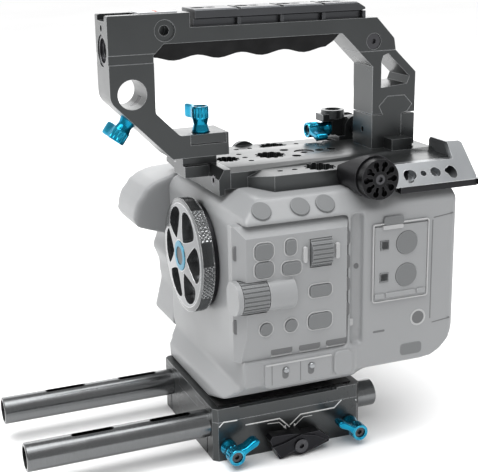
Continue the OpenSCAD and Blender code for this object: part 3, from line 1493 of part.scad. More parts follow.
// Button in the top of the nose, and the spring under it
module record_button() {
    color(satin_silver) union() {
        block(-button_w / 2, button_w / 2, button_y - button_l / 2, button_y + button_l / 2,
            nose_z - button_h + button_proud, nose_z + button_proud);
    }
    color(red) bar_z(button_mark_r, nose_z + button_proud - over, nose_z + button_proud + edge / 4, 0,
        button_y);
}
module button_spring() {
    color(steel) translate([0, button_y, nose_z - button_h - button_spring_h + button_proud])
        coil(button_spring_r, spring_wire_r, button_spring_h, button_spring_turns);
}

// Threaded steel ring in the front of the handle
module nose_port() {
    y0 = -nose_y;
    color(steel) difference() {
        bar_y(port_insert_r - slide_fit, y0 + edge / 2, y0 + port_insert_t, 0, mid_z + port_rise);
        bar_y(thread_38_r, y0 - over, y0 + port_insert_t + over, 0, mid_z + port_rise);
        bar_y(port_insert_r - 2 * edge, y0 - over, y0 + port_insert_t - edge, 0, mid_z + port_rise);
    }
}

// Rear tower with a window, and a tee-shaped slot in its foot
module handle_tower() {
    y0 = tower_y;
    y1 = tower_y + tower_d;
    z0 = mid_z + tower_foot;
    z1 = mid_z + seam_rise - tower_gap / 3;
    color(gunmetal) difference() {
        prism_x(outline([
            [seam_y, z1, 0], [bar_end_y, z1, 0], [y1, z1 - tower_slope, 1], [y1, z0, 0], [y0, z0, 0],
                [y0, z1 - y0 + seam_y, 0]]),
            -hw, hw);
        prism_x(shared(window_shares, tower_d, z1 - z0, y0, z0), -top_w, top_w);
        prism_x(tee_outline(tee_gap), -top_w, top_w);
        bar_z(tower_screw_r + shaft_fit, mid_z + seam_rise - 2 * tower_seat, bar_z, 0, y0 + tower_screw_y);
        bar_z(tower_screw_head_r + slide_fit, mid_z + seam_rise - 4 * tower_seat,
            mid_z + seam_rise - tower_seat,
            0, y0 + tower_screw_y);
    }
}

// Outline of the tee on the rear shoe, grown by a gap
function tee_outline(gap) = [
    for (s = tee_shares) [
        tower_y + tower_d * s[0] + (s[0] < 1 / 2 ? -gap : gap),
        mid_z + shoe_h + tee_h * s[1] + (s[1] > 3 / 4 ? gap : s[1] > 1 / 4 ? 0 : -gap)]];

// Shoe that carries the tower, with a tee across its top
module rear_shoe() {
    color(gunmetal) difference() {
        union() {
            block(-hw, hw, tower_y, tower_y + tower_d * shoe_share, mid_z, mid_z + shoe_h);
            prism_x(tee_outline(0), -hw, hw);
        }
        for (y = shoe_screw_ys) bar_z(shoe_screw_r, mid_z - over, mid_z + shoe_screw_bite, 0, y);
        bar_y(small_thread_r, tower_y - over, tower_y + pin_hole_depth, 0, mid_z + shoe_hole_rise);
        bar_y(side_bolt_r, tower_y + tower_d / 2, top_back, 0, mid_z + jaw_screw_rise);
    }
}

// Jaw at the back of the shoe
module rear_jaw() {
    y0 = tower_y + tower_d * shoe_share + jaw_gap / 3;
    color(gunmetal) difference() {
        block(-hw, hw, y0, tower_y + tower_d, mid_z + jaw_lift, mid_z + shoe_h - jaw_gap);
        bar_y(side_bolt_r + shaft_fit, y0 - over, top_back, 0, mid_z + jaw_screw_rise);
        bar_y(side_bolt_head_r + slide_fit, tower_y + tower_d - side_bolt_head_h, top_back, 0,
            mid_z + jaw_screw_rise);
    }
}

// Fork of the arm on the grip side, screwed to the top plate
module arm_bracket() {
    zc = lane_z + arm_z;
    color(gunmetal) difference() {
        union() {
            block(-arm_x - arm_half - arm_cheek, -arm_x + arm_half + arm_cheek, arm_y - arm_foot_l / 2,
                arm_y + arm_foot_l / 2,
                lane_z, lane_z + arm_foot_h);
            bar_x(arm_r, -arm_x - arm_half - arm_cheek, -arm_x + arm_half + arm_cheek, arm_y, zc);
            block(-arm_x - arm_half - arm_cheek, -arm_x + arm_half + arm_cheek, arm_y - arm_r,
                arm_y + arm_r, lane_z, zc);
        }
        bar_x(arm_r + arm_gap + edge, -arm_x - arm_half - arm_gap, -arm_x + arm_half + arm_gap, arm_y, zc);
        block(-arm_x - arm_half - arm_gap, -arm_x + arm_half + arm_gap, arm_y - arm_foot_l, arm_y,
            zc - arm_z + arm_foot_h, zc + 2 * arm_r);
        block(-arm_x - arm_half - arm_gap, -arm_x + arm_half + arm_gap, arm_y - arm_r,
            arm_y + arm_r + over, zc, zc + 2 * arm_r);
        bar_x(pivot_r + shaft_fit, -top_w, 0, arm_y, zc);
        for (y = arm_screw_ys) bar_z(arm_screw_r + shaft_fit, lane_z - over, lane_z + arm_foot_h + over,
            -arm_x, y);
    }
}

// Swinging link of the arm with the ring at its end
module arm_link() {
    zc = lane_z + arm_z;
    color(gunmetal) difference() {
        union() {
            bar_x(arm_r - edge, -arm_x - arm_half, -arm_x + arm_half, arm_y, zc);
            block(-arm_x - arm_half, -arm_x + arm_half, arm_block_y, arm_y, zc - arm_drop, zc + arm_r - edge);
            block(-arm_x - arm_half - edge, -arm_x + arm_half + edge, arm_bar_y, arm_block_y + edge,
                zc + arm_bar_lift, zc + arm_bar_lift + arm_bar_h);
            bar_z(ring_r, zc + ring_lift, lane_z + ring_z + ring_h / 2, -arm_x, ring_y);
        }
        bar_z(ring_bore_r, zc + ring_lift - over, lane_z + ring_z + ring_h, -arm_x, ring_y);
        bar_x(pivot_r, -top_w, 0, arm_y, zc);
        bar_y(bolt_r, arm_block_y - over, arm_block_y + arm_bolt_bite, -arm_x, lane_z + arm_lever_z);
    }
}

// Pivot of the arm, which turns in the fork
module arm_pivot() {
    zc = lane_z + arm_z;
    x1 = -arm_x + arm_half + arm_cheek + shaft_fit;
    color(steel) translate([x1, arm_y, zc]) rotate([0, 90, 0])
        screw(pivot_r, pivot_head_r, pivot_head_h, 2 * (arm_half + arm_cheek), bolt_socket_r);
}
module arm_lever_place() {
    translate([-arm_x, arm_block_y - loose_fit, lane_z + arm_lever_z]) rotate([90, 0, 0])
        rotate([0, 0, arm_wing_angle]) children();
}
module arm_lever() { color(blue) arm_lever_place() clamp_lever(); }
module arm_bolt() { color(steel) arm_lever_place() clamp_bolt(loose_fit + arm_bolt_bite - over); }

base_block();
base_cover();
cover_screws();
clamp_nuts();
release_spring();
rod_near();
rod_far();
front_rod_lever();
front_rod_bolt();
rear_rod_lever();
rear_rod_bolt();
release_lever();
release_shaft();
lock_pin();
camera_plate();
plate_pad();
camera_screws();
camera_body();
camera_grip();
camera_mount();
camera_control_panel();
camera_buttons();
camera_upper_wheel();
camera_lower_wheel();
camera_port_door();
camera_port_caps();
mount_cap();
cap_badge();
top_plate();
front_bridge();
top_plate_screws();
side_bracket();
bracket_screws();
knob_housing();
thumb_knob();
knob_spindle();
tool_holder();
hex_tool();
handle_frame();
finger_grip();
top_rail();
handle_screws();
record_button();
button_spring();
nose_port();
handle_tower();
rear_shoe();
rear_jaw();
front_jaw();
front_jaw_lever();
front_jaw_bolt();
rod_clamp_shoe();
rod_clamp_lever();
rod_clamp_bolt();
arm_bracket();
arm_link();
arm_pivot();
arm_lever();
arm_bolt();
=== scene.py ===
"""Looks of the camera rig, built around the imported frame.

Lengths are millimetres, unless a comment says otherwise. X points to the operator's side, Y to the back
and Z up.
"""

import json
import math

import bmesh
import bpy
import numpy as np
from mathutils import Matrix, Vector
from mathutils.bvhtree import BVHTree

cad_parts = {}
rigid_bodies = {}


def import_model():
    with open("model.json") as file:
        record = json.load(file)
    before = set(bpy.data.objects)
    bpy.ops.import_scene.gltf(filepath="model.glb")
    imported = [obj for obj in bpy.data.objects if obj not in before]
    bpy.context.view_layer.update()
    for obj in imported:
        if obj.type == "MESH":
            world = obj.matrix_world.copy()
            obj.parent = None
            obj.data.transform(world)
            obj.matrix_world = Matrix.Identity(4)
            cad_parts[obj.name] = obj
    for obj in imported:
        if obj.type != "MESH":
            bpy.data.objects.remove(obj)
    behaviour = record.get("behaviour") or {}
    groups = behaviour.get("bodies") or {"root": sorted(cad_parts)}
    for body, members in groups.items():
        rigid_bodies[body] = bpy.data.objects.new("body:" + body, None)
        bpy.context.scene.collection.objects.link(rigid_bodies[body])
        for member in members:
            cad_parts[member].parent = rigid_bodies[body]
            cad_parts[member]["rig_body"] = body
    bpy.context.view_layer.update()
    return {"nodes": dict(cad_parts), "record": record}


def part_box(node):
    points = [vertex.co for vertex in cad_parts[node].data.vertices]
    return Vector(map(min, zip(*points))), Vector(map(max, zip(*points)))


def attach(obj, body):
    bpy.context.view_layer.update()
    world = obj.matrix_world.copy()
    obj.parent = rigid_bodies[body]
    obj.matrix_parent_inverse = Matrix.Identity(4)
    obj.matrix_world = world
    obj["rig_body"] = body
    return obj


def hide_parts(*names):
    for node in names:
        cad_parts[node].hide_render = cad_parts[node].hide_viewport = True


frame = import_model()
NODES = frame["nodes"]
MM = 0.001

# Camera fitted to the photo, with its angles in degrees
CAM_AZIMUTH = 68.227
CAM_ELEVATION = 16.111
CAM_ROLL = -1.045
CAM_PLACE = (532.249, -223.5, 276.372)
CAM_LENS = 81.94
SENSOR_W = 36.0
CAM_FAR_M = 20


def make_camera():
    """The camera that sees the rig as the photo does."""
    a, e, r = (math.radians(v) for v in (CAM_AZIMUTH, CAM_ELEVATION, CAM_ROLL))
    ahead = -Vector((math.sin(a) * math.cos(e), -math.cos(a) * math.cos(e), math.sin(e)))
    right = ahead.cross(Vector((0, 0, 1))).normalized()
    down = ahead.cross(right)
    x = math.cos(r) * right - math.sin(r) * down
    y = math.sin(r) * right + math.cos(r) * down
    view = Matrix((x, -y, -ahead)).transposed()
    data = bpy.data.cameras.new("camera")
    data.lens = CAM_LENS
    data.sensor_width = SENSOR_W
    data.sensor_fit = "HORIZONTAL"
    data.clip_end = CAM_FAR_M
    camera = bpy.data.objects.new("camera", data)
    bpy.context.scene.collection.objects.link(camera)
    camera.matrix_world = Matrix.Translation(Vector(CAM_PLACE) * MM) @ view.to_4x4()
    bpy.context.scene.camera = camera


make_camera()
bpy.context.scene.view_settings.view_transform = "Standard"


# Materials. Sizes in them are metres, and noise scales are waves per metre.

def scaled(colour, share):
    return tuple(min(1, v * share) for v in colour)


class Shader:
    """A node material with a principled shader, made a node at a time."""

    def __init__(self, name):
        self.material = bpy.data.materials.new(name)
        self.material.use_nodes = True
        self.tree = self.material.node_tree
        self.bsdf = self.tree.nodes["Principled BSDF"]

    def add(self, kind, **sockets):
        node = self.tree.nodes.new(kind)
        for key, value in sockets.items():
            self.put(node.inputs[key], value)
        return node

    def put(self, socket, value):
        """Links an output to a socket, or sets the socket to a value."""
        if isinstance(value, bpy.types.NodeSocket):
            self.tree.links.new(value, socket)
        else:
            socket.default_value = value

    def set(self, **sockets):
        """Sets inputs of the principled shader, named with _ for each space."""
        for key, value in sockets.items():
            self.put(self.bsdf.inputs[key.replace("_", " ")], value)

    def noise(self, scale, detail=2.0, stretch=(1, 1, 1)):
        place = self.add("ShaderNodeTexCoord")
        mapping = self.add("ShaderNodeMapping", Vector=place.outputs["Object"], Scale=stretch)
        node = self.add("ShaderNodeTexNoise", Vector=mapping.outputs["Vector"], Scale=scale, Detail=detail)
        return node.outputs["Fac"]

    def ramp(self, value, low, high, low_at=0.35, high_at=0.65):
        """Maps a value between low_at and high_at onto low to high."""
        node = self.add("ShaderNodeMapRange", Value=value)
        for key, setting in (("From Min", low_at), ("From Max", high_at), ("To Min", low), ("To Max", high)):
            node.inputs[key].default_value = setting
        return node.outputs["Result"]

    def mix(self, factor, a, b):
        """Mixes two colours. The colour sockets of a mix node are its inputs 6 and 7, and its output 2."""
        node = self.tree.nodes.new("ShaderNodeMix")
        node.data_type = "RGBA"
        self.put(node.inputs[0], factor)
        self.put(node.inputs[6], (*a, 1) if isinstance(a, tuple) else a)
        self.put(node.inputs[7], (*b, 1) if isinstance(b, tuple) else b)
        return node.outputs[2]

    def math(self, kind, a, b):
        node = self.tree.nodes.new("ShaderNodeMath")
        node.operation = kind
        self.put(node.inputs[0], a)
        self.put(node.inputs[1], b)
        return node.outputs[0]

    def edge(self, radius, gain):
        """1 on edges and corners, 0 on flats, from how far a rounded normal leans from the true one: the
        mask of the painted edge highlights.
        """
        bevel = self.add("ShaderNodeBevel", Radius=radius)
        bevel.samples = 6
        geometry = self.add("ShaderNodeNewGeometry")
        dot = self.tree.nodes.new("ShaderNodeVectorMath")
        dot.operation = "DOT_PRODUCT"
        self.put(dot.inputs[0], bevel.outputs["Normal"])
        self.put(dot.inputs[1], geometry.outputs["Normal"])
        lean = self.math("SUBTRACT", 1.0, dot.outputs["Value"])
        return self.math("MINIMUM", self.math("MULTIPLY", lean, gain), 1.0)

    def bump(self, height, strength, distance):
        node = self.add("ShaderNodeBump", Height=height, Strength=strength, Distance=distance)
        self.put(self.bsdf.inputs["Normal"], node.outputs["Normal"])


def anodised(name, base, light, rough, grain=0.06, highlight_radius=0.0004, highlight_gain=5):
    """Bead-blasted anodised metal: fine grain, soft clouds of tone, and a painted highlight that makes its
    edges lighter.
    """
    s = Shader(name)
    clouds = s.noise(38, detail=4)
    tone = s.mix(s.ramp(clouds, 0, 1, 0.3, 0.7), base, scaled(base, 1.12))
    # light is the colour of the painted edge highlight, laid on through the edge mask
    s.set(Base_Color=s.mix(s.edge(highlight_radius, highlight_gain), tone, light), Metallic=0.85)
    s.set(Roughness=s.ramp(clouds, rough - 0.03, rough + 0.04))
    s.bump(s.noise(5200), grain, 0.00004)
    return s.material


def blue_metal(name, depth=1.0):
    """Glossy blue anodised metal, with a painted highlight that makes its edges paler. A depth under 1
    darkens it.
    """
    s = Shader(name)
    clouds = s.noise(160, detail=3)
    # The third blue is the colour of the painted edge highlight
    blues = ((0.004, 0.20, 0.34), (0.008, 0.27, 0.42), (0.10, 0.52, 0.70))
    deep, bright, edge_highlight_blue = (scaled(blue, depth) for blue in blues)
    tone = s.mix(s.ramp(clouds, 0, 1), deep, bright)
    s.set(Base_Color=s.mix(s.edge(0.0005, 5), tone, edge_highlight_blue), Metallic=0.9)
    s.set(Roughness=s.ramp(clouds, 0.17, 0.25))
    s.bump(s.noise(4000), 0.03, 0.00003)
    return s.material


def turned_steel(name, stretch, base, rough):
    """Steel with fine turning lines across the axis that stretch leaves long."""
    s = Shader(name)
    lines = s.noise(2600, detail=3, stretch=stretch)
    clouds = s.noise(60, detail=3)
    s.set(Base_Color=s.mix(s.ramp(lines, 0, 1), base, scaled(base, 1.1)), Metallic=1.0)
    s.set(Roughness=s.ramp(clouds, rough, rough + 0.08))
    s.bump(lines, 0.018, 0.00003)
    return s.material


def plastic(name, base, light, rough):
    """Moulded plastic with a fine texture, and a painted highlight that makes its edges a little lighter."""
    s = Shader(name)
    clouds = s.noise(30, detail=4)
    tone = s.mix(s.ramp(clouds, 0, 1, 0.3, 0.7), base, scaled(base, 1.04))
    # light is the colour of the painted edge highlight, laid on through the edge mask
    s.set(Base_Color=s.mix(s.edge(0.0008, 4), tone, light), Specular_IOR_Level=0.4)
    s.set(Roughness=s.ramp(clouds, rough - 0.04, rough + 0.06))
    s.bump(s.noise(2600, detail=3), 0.08, 0.00005)
    return s.material


def rubber(name, base):
    """Matt rubber with a fine pebbled skin and a trace of dust."""
    s = Shader(name)
    pebbles = s.add("ShaderNodeTexVoronoi", Scale=1500.0)
    dust = s.noise(90, detail=5)
    s.set(Base_Color=s.mix(s.ramp(dust, 0, 0.5), base, (0.03, 0.03, 0.031)))
    s.set(Roughness=s.ramp(dust, 0.55, 0.75), Specular_IOR_Level=0.15)
    s.bump(pebbles.outputs["Distance"], 0.15, 0.00008)
    return s.material


def paint_mark(name, colour):
    """Paint in a mark or line: matt, and a little uneven in tone."""
    s = Shader(name)
    clouds = s.noise(900, detail=3)
    s.set(Base_Color=s.mix(s.ramp(clouds, 0, 1), colour, scaled(colour, 0.86)))
    s.set(Roughness=s.ramp(clouds, 0.45, 0.6))
    s.bump(clouds, 0.06, 0.00003)
    return s.material


# Each material's function, then its colour, the colour of its painted edge highlight or other settings
RECIPES = {
    "gunmetal": (anodised, (0.057, 0.060, 0.061), (0.42, 0.43, 0.44), 0.30, 0.06, 0.0004, 7),
    "black_cover": (anodised, (0.022, 0.022, 0.024), (0.12, 0.12, 0.13), 0.40),
    "black_lever": (anodised, (0.014, 0.014, 0.016), (0.10, 0.10, 0.11), 0.30),
    "black_knob": (anodised, (0.012, 0.012, 0.013), (0.08, 0.08, 0.085), 0.28),
    "rubber_pad": (rubber, (0.012, 0.012, 0.012)),
    # The finger grip's near-black is painted shade: it stands for the shade on the underside of the handle's
    # bar
    "grip_rubber": (rubber, (0.009, 0.009, 0.0095)),
    "black_rail": (anodised, (0.060, 0.062, 0.066), (0.28, 0.29, 0.30), 0.34),
    "knurled_cap": (anodised, (0.10, 0.104, 0.106), (0.70, 0.71, 0.72), 0.2, 0.04, 0.0003, 9),
    "cap_face": (anodised, (0.17, 0.175, 0.18), (0.85, 0.86, 0.87), 0.20, 0.06, 0.0005, 9),
    "blue_lever": (blue_metal,),
    "blue_badge": (blue_metal, 0.62),
    "screw_steel": (turned_steel, (1, 1, 1), (0.07, 0.07, 0.075), 0.26),
    "rod_steel": (turned_steel, (0.05, 1, 0.05), (0.15, 0.154, 0.157), 0.18),
    "bracket_silver": (anodised, (0.28, 0.29, 0.30), (0.75, 0.76, 0.77), 0.34),
    "button_silver": (plastic, (0.42, 0.43, 0.44), (0.60, 0.60, 0.61), 0.45),
    "stand_in": (plastic, (0.250, 0.255, 0.260), (0.36, 0.365, 0.37), 0.36),
    "stand_in_detail": (plastic, (0.135, 0.140, 0.143), (0.24, 0.245, 0.25), 0.42),
    "stand_in_rim": (plastic, (0.36, 0.363, 0.367), (0.46, 0.463, 0.467), 0.40),
    "stand_in_seam": (plastic, (0.11, 0.112, 0.115), (0.15, 0.152, 0.155), 0.50),
    "white_mark": (paint_mark, (0.78, 0.78, 0.77)),
    "red_mark": (paint_mark, (0.75, 0.12, 0.05)),
}
MATERIALS = {name: recipe[0](name, *recipe[1:]) for name, recipe in RECIPES.items()}
SLOT_OF = {s["node"]: s["material_slot"] for s in frame["record"]["subparts"]}
BODY_OF = {n: o["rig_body"] for n, o in NODES.items()}


# Meshes

WELD_M = 2e-6
FLAT_DEG = 0.4
SHARP_DEG = 33
ROUND_OVER_DEG = 26


def paint(obj, material):
    obj.data.materials.clear()
    obj.data.materials.append(material)


def linked(name, data):
    obj = bpy.data.objects.new(name, data)
    bpy.context.scene.collection.objects.link(obj)
    return obj


def final_mesh(obj):
    """Puts the result of an object's modifiers into its mesh."""
    bpy.context.view_layer.update()
    result = bpy.data.meshes.new_from_object(obj.evaluated_get(bpy.context.evaluated_depsgraph_get()))
    obj.modifiers.clear()
    obj.data = result


def smooth_faces(obj):
    for polygon in obj.data.polygons:
        polygon.use_smooth = True


def split_edges(obj, angle):
    """Smooth shading that stops at edges turning by more than angle."""
    smooth_faces(obj)
    obj.modifiers.new("split", "EDGE_SPLIT").split_angle = math.radians(angle)
    final_mesh(obj)


def mark_sharp(obj):
    """Keeps the shading from running over the edges that no bevel softened."""
    bm = bmesh.new()
    bm.from_mesh(obj.data)
    for edge in bm.edges:
        if len(edge.link_faces) == 2 and edge.calc_face_angle(0) > math.radians(SHARP_DEG):
            edge.smooth = False
    bm.to_mesh(obj.data)
    bm.free()


def bevelled(obj, width, segments=2, angle=ROUND_OVER_DEG):
    """Rounds the edges of a mesh that turn by more than angle, and shades its flats flat."""
    smooth_faces(obj)
    bevel = obj.modifiers.new("edges", "BEVEL")
    bevel.width = width * MM
    bevel.segments = segments
    bevel.limit_method = "ANGLE"
    bevel.angle_limit = math.radians(angle)
    bevel.miter_outer = "MITER_ARC"
    final_mesh(obj)
    mark_sharp(obj)
    weighted = obj.modifiers.new("flat", "WEIGHTED_NORMAL")
    weighted.mode = "FACE_AREA"
    weighted.weight = 100
    weighted.keep_sharp = True
    final_mesh(obj)


def cleaned_copy(node):
    """A copy of a CAD node's mesh with its flat faces joined up, for work that the node can't take."""
    mesh = NODES[node].data.copy()
    mesh.name = node + "_finished"
    bm = bmesh.new()
    bm.from_mesh(mesh)
    bmesh.ops.remove_doubles(bm, verts=bm.verts, dist=WELD_M)
    bmesh.ops.dissolve_limit(bm, angle_limit=math.radians(FLAT_DEG), verts=bm.verts, edges=bm.edges)
    bm.to_mesh(mesh)
    bm.free()
    return linked(mesh.name, mesh)


def dress(obj, node, material=None):
    """Sets a finished piece in a node's place: its slot, its body and its material."""
    paint(obj, MATERIALS[material or SLOT_OF[node]])
    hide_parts(node)
    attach(obj, BODY_OF[node])


def add_to(obj, node, material=None):
    """Puts a piece that the solids lack on the body of a node, with that node's slot."""
    paint(obj, MATERIALS[material or SLOT_OF[node]])
    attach(obj, BODY_OF[node])


def refined(node, width, material=None):
    """A node's own shape with rounded edges."""
    obj = cleaned_copy(node)
    bevelled(obj, width)
    dress(obj, node, material)


def cut(obj, cutter):
    """Takes one mesh out of another, and the cutter away."""
    modifier = obj.modifiers.new("cut", "BOOLEAN")
    modifier.operation = "DIFFERENCE"
    modifier.solver = "EXACT"
    modifier.object = cutter
    final_mesh(obj)
    bpy.data.objects.remove(cutter)


def box(node):
    """The lowest and highest corners of a node."""
    low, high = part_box(node)
    return low / MM, high / MM


def middle_of(node):
    low, high = box(node)
    return (low + high) / 2


def around(steps):
    """Cosine and sine of equal steps of a full turn."""
    turns = [2 * math.pi * i / steps for i in range(steps)]
    return [(math.cos(t), math.sin(t)) for t in turns]


class Build:
    """Closed shapes gathered into one mesh. Axis x takes outlines in Y and Z, y in X and Z, z in X and Y."""

    def __init__(self):
        self.bm = bmesh.new()

    @staticmethod
    def at(axis, a, b, h):
        return {"x": (h, a, b), "y": (a, h, b), "z": (a, b, h)}[axis]

    def solid(self, rows, close_rows=False, matrix=Matrix()):
        """Skin over equal closed rings of points; the first and last ring are capped, or joined."""
        rings = [[self.bm.verts.new((matrix @ Vector(p)) * MM) for p in row] for row in rows]
        pairs = list(zip(rings, rings[1:]))
        if close_rows:
            pairs.append((rings[-1], rings[0]))
        for a, b in pairs:
            for i in range(len(a)):
                j = (i + 1) % len(a)
                self.bm.faces.new((a[i], a[j], b[j], b[i]))
        if not close_rows:
            self.bm.faces.new(rings[0])
            self.bm.faces.new(rings[-1][::-1])
        return self

    def prism(self, outline, axis, low, high):
        return self.solid([[self.at(axis, a, b, h) for a, b in outline] for h in (low, high)])

    def band(self, outer, inner, axis, low, high):
        """A closed band between two outlines with the same number of points."""
        runs = ((outer, low), (outer, high), (inner, high), (inner, low))
        rows = [[self.at(axis, a, b, h) for a, b in outline] for outline, h in runs]
        return self.solid(rows, close_rows=True)

    def knob(self, profile, axis, place, steps):
        """Turns an open profile of (radius, height) whose ends are capped flat."""
        centre = Vector(place)
        return self.solid([[Vector(self.at(axis, r * c, r * s, h)) + centre for c, s in around(steps)]
                           for r, h in profile])

    def lathe(self, profile, axis, place, steps, ripple=None, matrix=Matrix()):
        """Turns a closed profile of (radius, height). ripple(angle, r, h) may change a radius."""
        centre = Vector(place)
        rows = []
        for r, h in profile:
            row = []
            for i in range(steps):
                t = 2 * math.pi * i / steps
                q = ripple(t, r, h) if ripple else r
                row.append(Vector(self.at(axis, q * math.cos(t), q * math.sin(t), h)) + centre)
            rows.append(row)
        return self.solid(rows, close_rows=True, matrix=matrix)

    def line(self, points, width, axis, low, high):
        """A strip of even width along a path of straight runs, mitred at its corners."""
        left, right = [], []
        path = [Vector(p) for p in points]
        for i, p in enumerate(path):
            ahead = (path[min(i + 1, len(path) - 1)] - path[max(i - 1, 0)]).normalized()
            side = Vector((-ahead.y, ahead.x))
            run = (path[i + 1] - p if i + 1 < len(path) else p - path[i - 1]).normalized()
            reach = width / 2 / max(0.5, abs(side.dot(Vector((-run.y, run.x)))))
            left.append(p + side * reach)
            right.append(p - side * reach)
        return self.prism([tuple(p) for p in left + right[::-1]], axis, low, high)

    def done(self, name, width=0.0, segments=2):
        """The finished object, with its edges rounded by width."""
        bmesh.ops.recalc_face_normals(self.bm, faces=self.bm.faces)
        mesh = bpy.data.meshes.new(name)
        self.bm.to_mesh(mesh)
        self.bm.free()
        obj = linked(name, mesh)
        if width:
            bevelled(obj, width, segments)
        return obj


def rounded(cx, cy, w, h, r, n=5):
    """Outline of a rectangle with rounded corners."""
    hair = 0.01
    r = min(r, w / 2 - hair, h / 2 - hair)
    points = []
    for k, (sx, sy) in enumerate(((1, 1), (-1, 1), (-1, -1), (1, -1))):
        for i in range(n + 1):
            t = math.pi / 2 * (k + i / n)
            points.append((cx + sx * (w / 2 - r) + r * math.cos(t), cy + sy * (h / 2 - r) + r * math.sin(t)))
    return points


def circle(cx, cy, r):
    return [(cx + r * c, cy + r * s) for c, s in around(32)]


def dome(x, start, run, least):
    """1 up to start, then falling like a quarter of an ellipse over run, and never under least."""
    return max(math.sqrt(max(0.0, 1 - (max(0.0, x - start) / run) ** 2)), least)


def turn(axis, degrees):
    return Matrix.Rotation(math.radians(degrees), 4, axis)


def move(x, y, z):
    return Matrix.Translation((x, y, z))


# Clamp levers, in the lever's own place: foot at z = 0, wing along +x
HUB_R = 4.5
HUB_RIM_R = 4.25
HUB_LEN = 14.2
HUB_WAIST_R = 3.7
RING_Z = HUB_LEN - 0.35
BORE_R = 2.05
SEAT_R = 3.02
SEAT_Z = 10.8
HUB_STEPS = 84
HUB_PROFILE = (
    (BORE_R, 0), (HUB_RIM_R, 0), (HUB_R, 0.3), (HUB_R, 1.8), (4.3, 2.3), (HUB_WAIST_R, 4.6),
    (HUB_WAIST_R, 5.0), (4.2, 7.3), (HUB_R, 7.9), (HUB_R, 8.4), (HUB_R, 8.6), (HUB_R, 11.0),
    (HUB_R, 13.2), (HUB_R, 13.4), (HUB_R, 13.8), (HUB_RIM_R, HUB_LEN), (3.6, HUB_LEN), (3.5, RING_Z),
    (SEAT_R, RING_Z), (SEAT_R, SEAT_Z), (BORE_R, SEAT_Z))
FLUTES = 14
FLUTE_DEPTH = 0.32
FLUTE_LOW_Z = 8.4
FLUTE_HIGH_Z = 13.4
FLUTED_OVER_R = 4.0
WING_Z = (6.8, 14.1)
WING_LOW_Y = ((0.0, -2.9), (3.0, -2.3), (7.0, -1.85), (9.5, -2.1), (12.0, -2.35), (14.5, -2.2))
WING_HIGH_Y = ((0.0, 3.6), (3.0, 2.8), (7.0, 1.5), (9.5, 1.7), (12.0, 2.0), (14.5, 1.7))
WING_STATIONS_X = (3.4, 4.4, 5.6, 7.0, 8.4, 9.8, 11.2, 12.4, 13.3, 13.9, 14.3, 14.5)
TIP_WIDTH_DOME = (11.6, 2.95, 0.12)
TIP_HEIGHT_DOME = (12.4, 2.4, 0.45)
TIP_HEIGHT_SHARE = 0.45
WING_STEPS = 28
WING_FULLNESS = (0.5, 0.42)
LEVER_SPLIT_DEG = 40


def between(table, x):
    return float(np.interp(x, [p[0] for p in table], [p[1] for p in table]))


def flutes(angle, r, z):
    """Grip flutes round the head of the hub."""
    if FLUTE_LOW_Z < z < FLUTE_HIGH_Z and r > FLUTED_OVER_R:
        return r - FLUTE_DEPTH * max(0.0, math.sin(angle * FLUTES)) ** 0.6
    return r


def wing_row(x):
    """One closed ring of the wing: a full oval that narrows and drops at the tip."""
    low, high = between(WING_LOW_Y, x), between(WING_HIGH_Y, x)
    mid_y, half_y = (low + high) / 2, (high - low) / 2 * dome(x, *TIP_WIDTH_DOME)
    mid_z = sum(WING_Z) / 2
    height = 1 - TIP_HEIGHT_SHARE + TIP_HEIGHT_SHARE * dome(x, *TIP_HEIGHT_DOME)
    half_z = (WING_Z[1] - WING_Z[0]) / 2 * height
    return [(x, mid_y + half_y * math.copysign(abs(c) ** WING_FULLNESS[0], c),
             mid_z + half_z * math.copysign(abs(s) ** WING_FULLNESS[1], s)) for c, s in around(WING_STEPS)]


def lever_shape(name, place):
    b = Build().lathe(HUB_PROFILE, "z", (0, 0, 0), HUB_STEPS, flutes, place)
    b.solid([wing_row(x) for x in WING_STATIONS_X], matrix=place)
    obj = b.done(name)
    split_edges(obj, LEVER_SPLIT_DEG)
    return obj


# Where the levers sit, as in the solids
BASE_SIDE_X = box("base_block")[1].x
LEVER_GAP = 0.5
WING_DEG = 30
NOSE_Y = -82.6
MID_Z = 154.4
HOLE_IN = 11.5
HOLE_RISE = 39.9
SLOPE_RISE = 36.7
CLAMP_LEAN_DEG = 54
CLAMP_ASIDE = 8.8
CLAMP_SEAT = 2.3
CLAMP_GAP = 0.3
CLAMP_WING_DEG = 167
JAW_WING_DEG = 192
ARM_WING_DEG = -10


def side_lever(bolt, angle):
    """Place of a lever on the operator's side of the base."""
    hub = middle_of(bolt)
    return move(BASE_SIDE_X + LEVER_GAP, hub.y, hub.z) @ turn("X", angle) @ turn("Y", 90) @ turn("Z", 90)


def jaw_lever():
    """Place of the upright lever on the handle's foot."""
    hub = middle_of("front_jaw_bolt")
    return move(hub.x, hub.y, box("front_jaw_lever")[0].z) @ turn("Z", JAW_WING_DEG)


def arm_lever():
    """Place of the arm's lever, whose head points to the front."""
    hub = middle_of("arm_bolt")
    return move(hub.x, box("arm_lever")[1].y, hub.z) @ turn("X", 90) @ turn("Z", ARM_WING_DEG)


def clamp_lever():
    """Place of the rod clamp's lever, on the slope under the rod hole."""
    lean = math.radians(CLAMP_LEAN_DEG)
    across = HOLE_IN + HOLE_RISE - SLOPE_RISE + CLAMP_ASIDE * (math.sin(lean) - math.cos(lean))
    face = across / (math.sin(lean) + math.cos(lean)) - CLAMP_SEAT
    hole = move(0, NOSE_Y + HOLE_IN, MID_Z + HOLE_RISE)
    foot = move(0, -CLAMP_ASIDE, face + CLAMP_GAP)
    return hole @ turn("X", 90 + CLAMP_LEAN_DEG) @ foot @ turn("Z", CLAMP_WING_DEG)


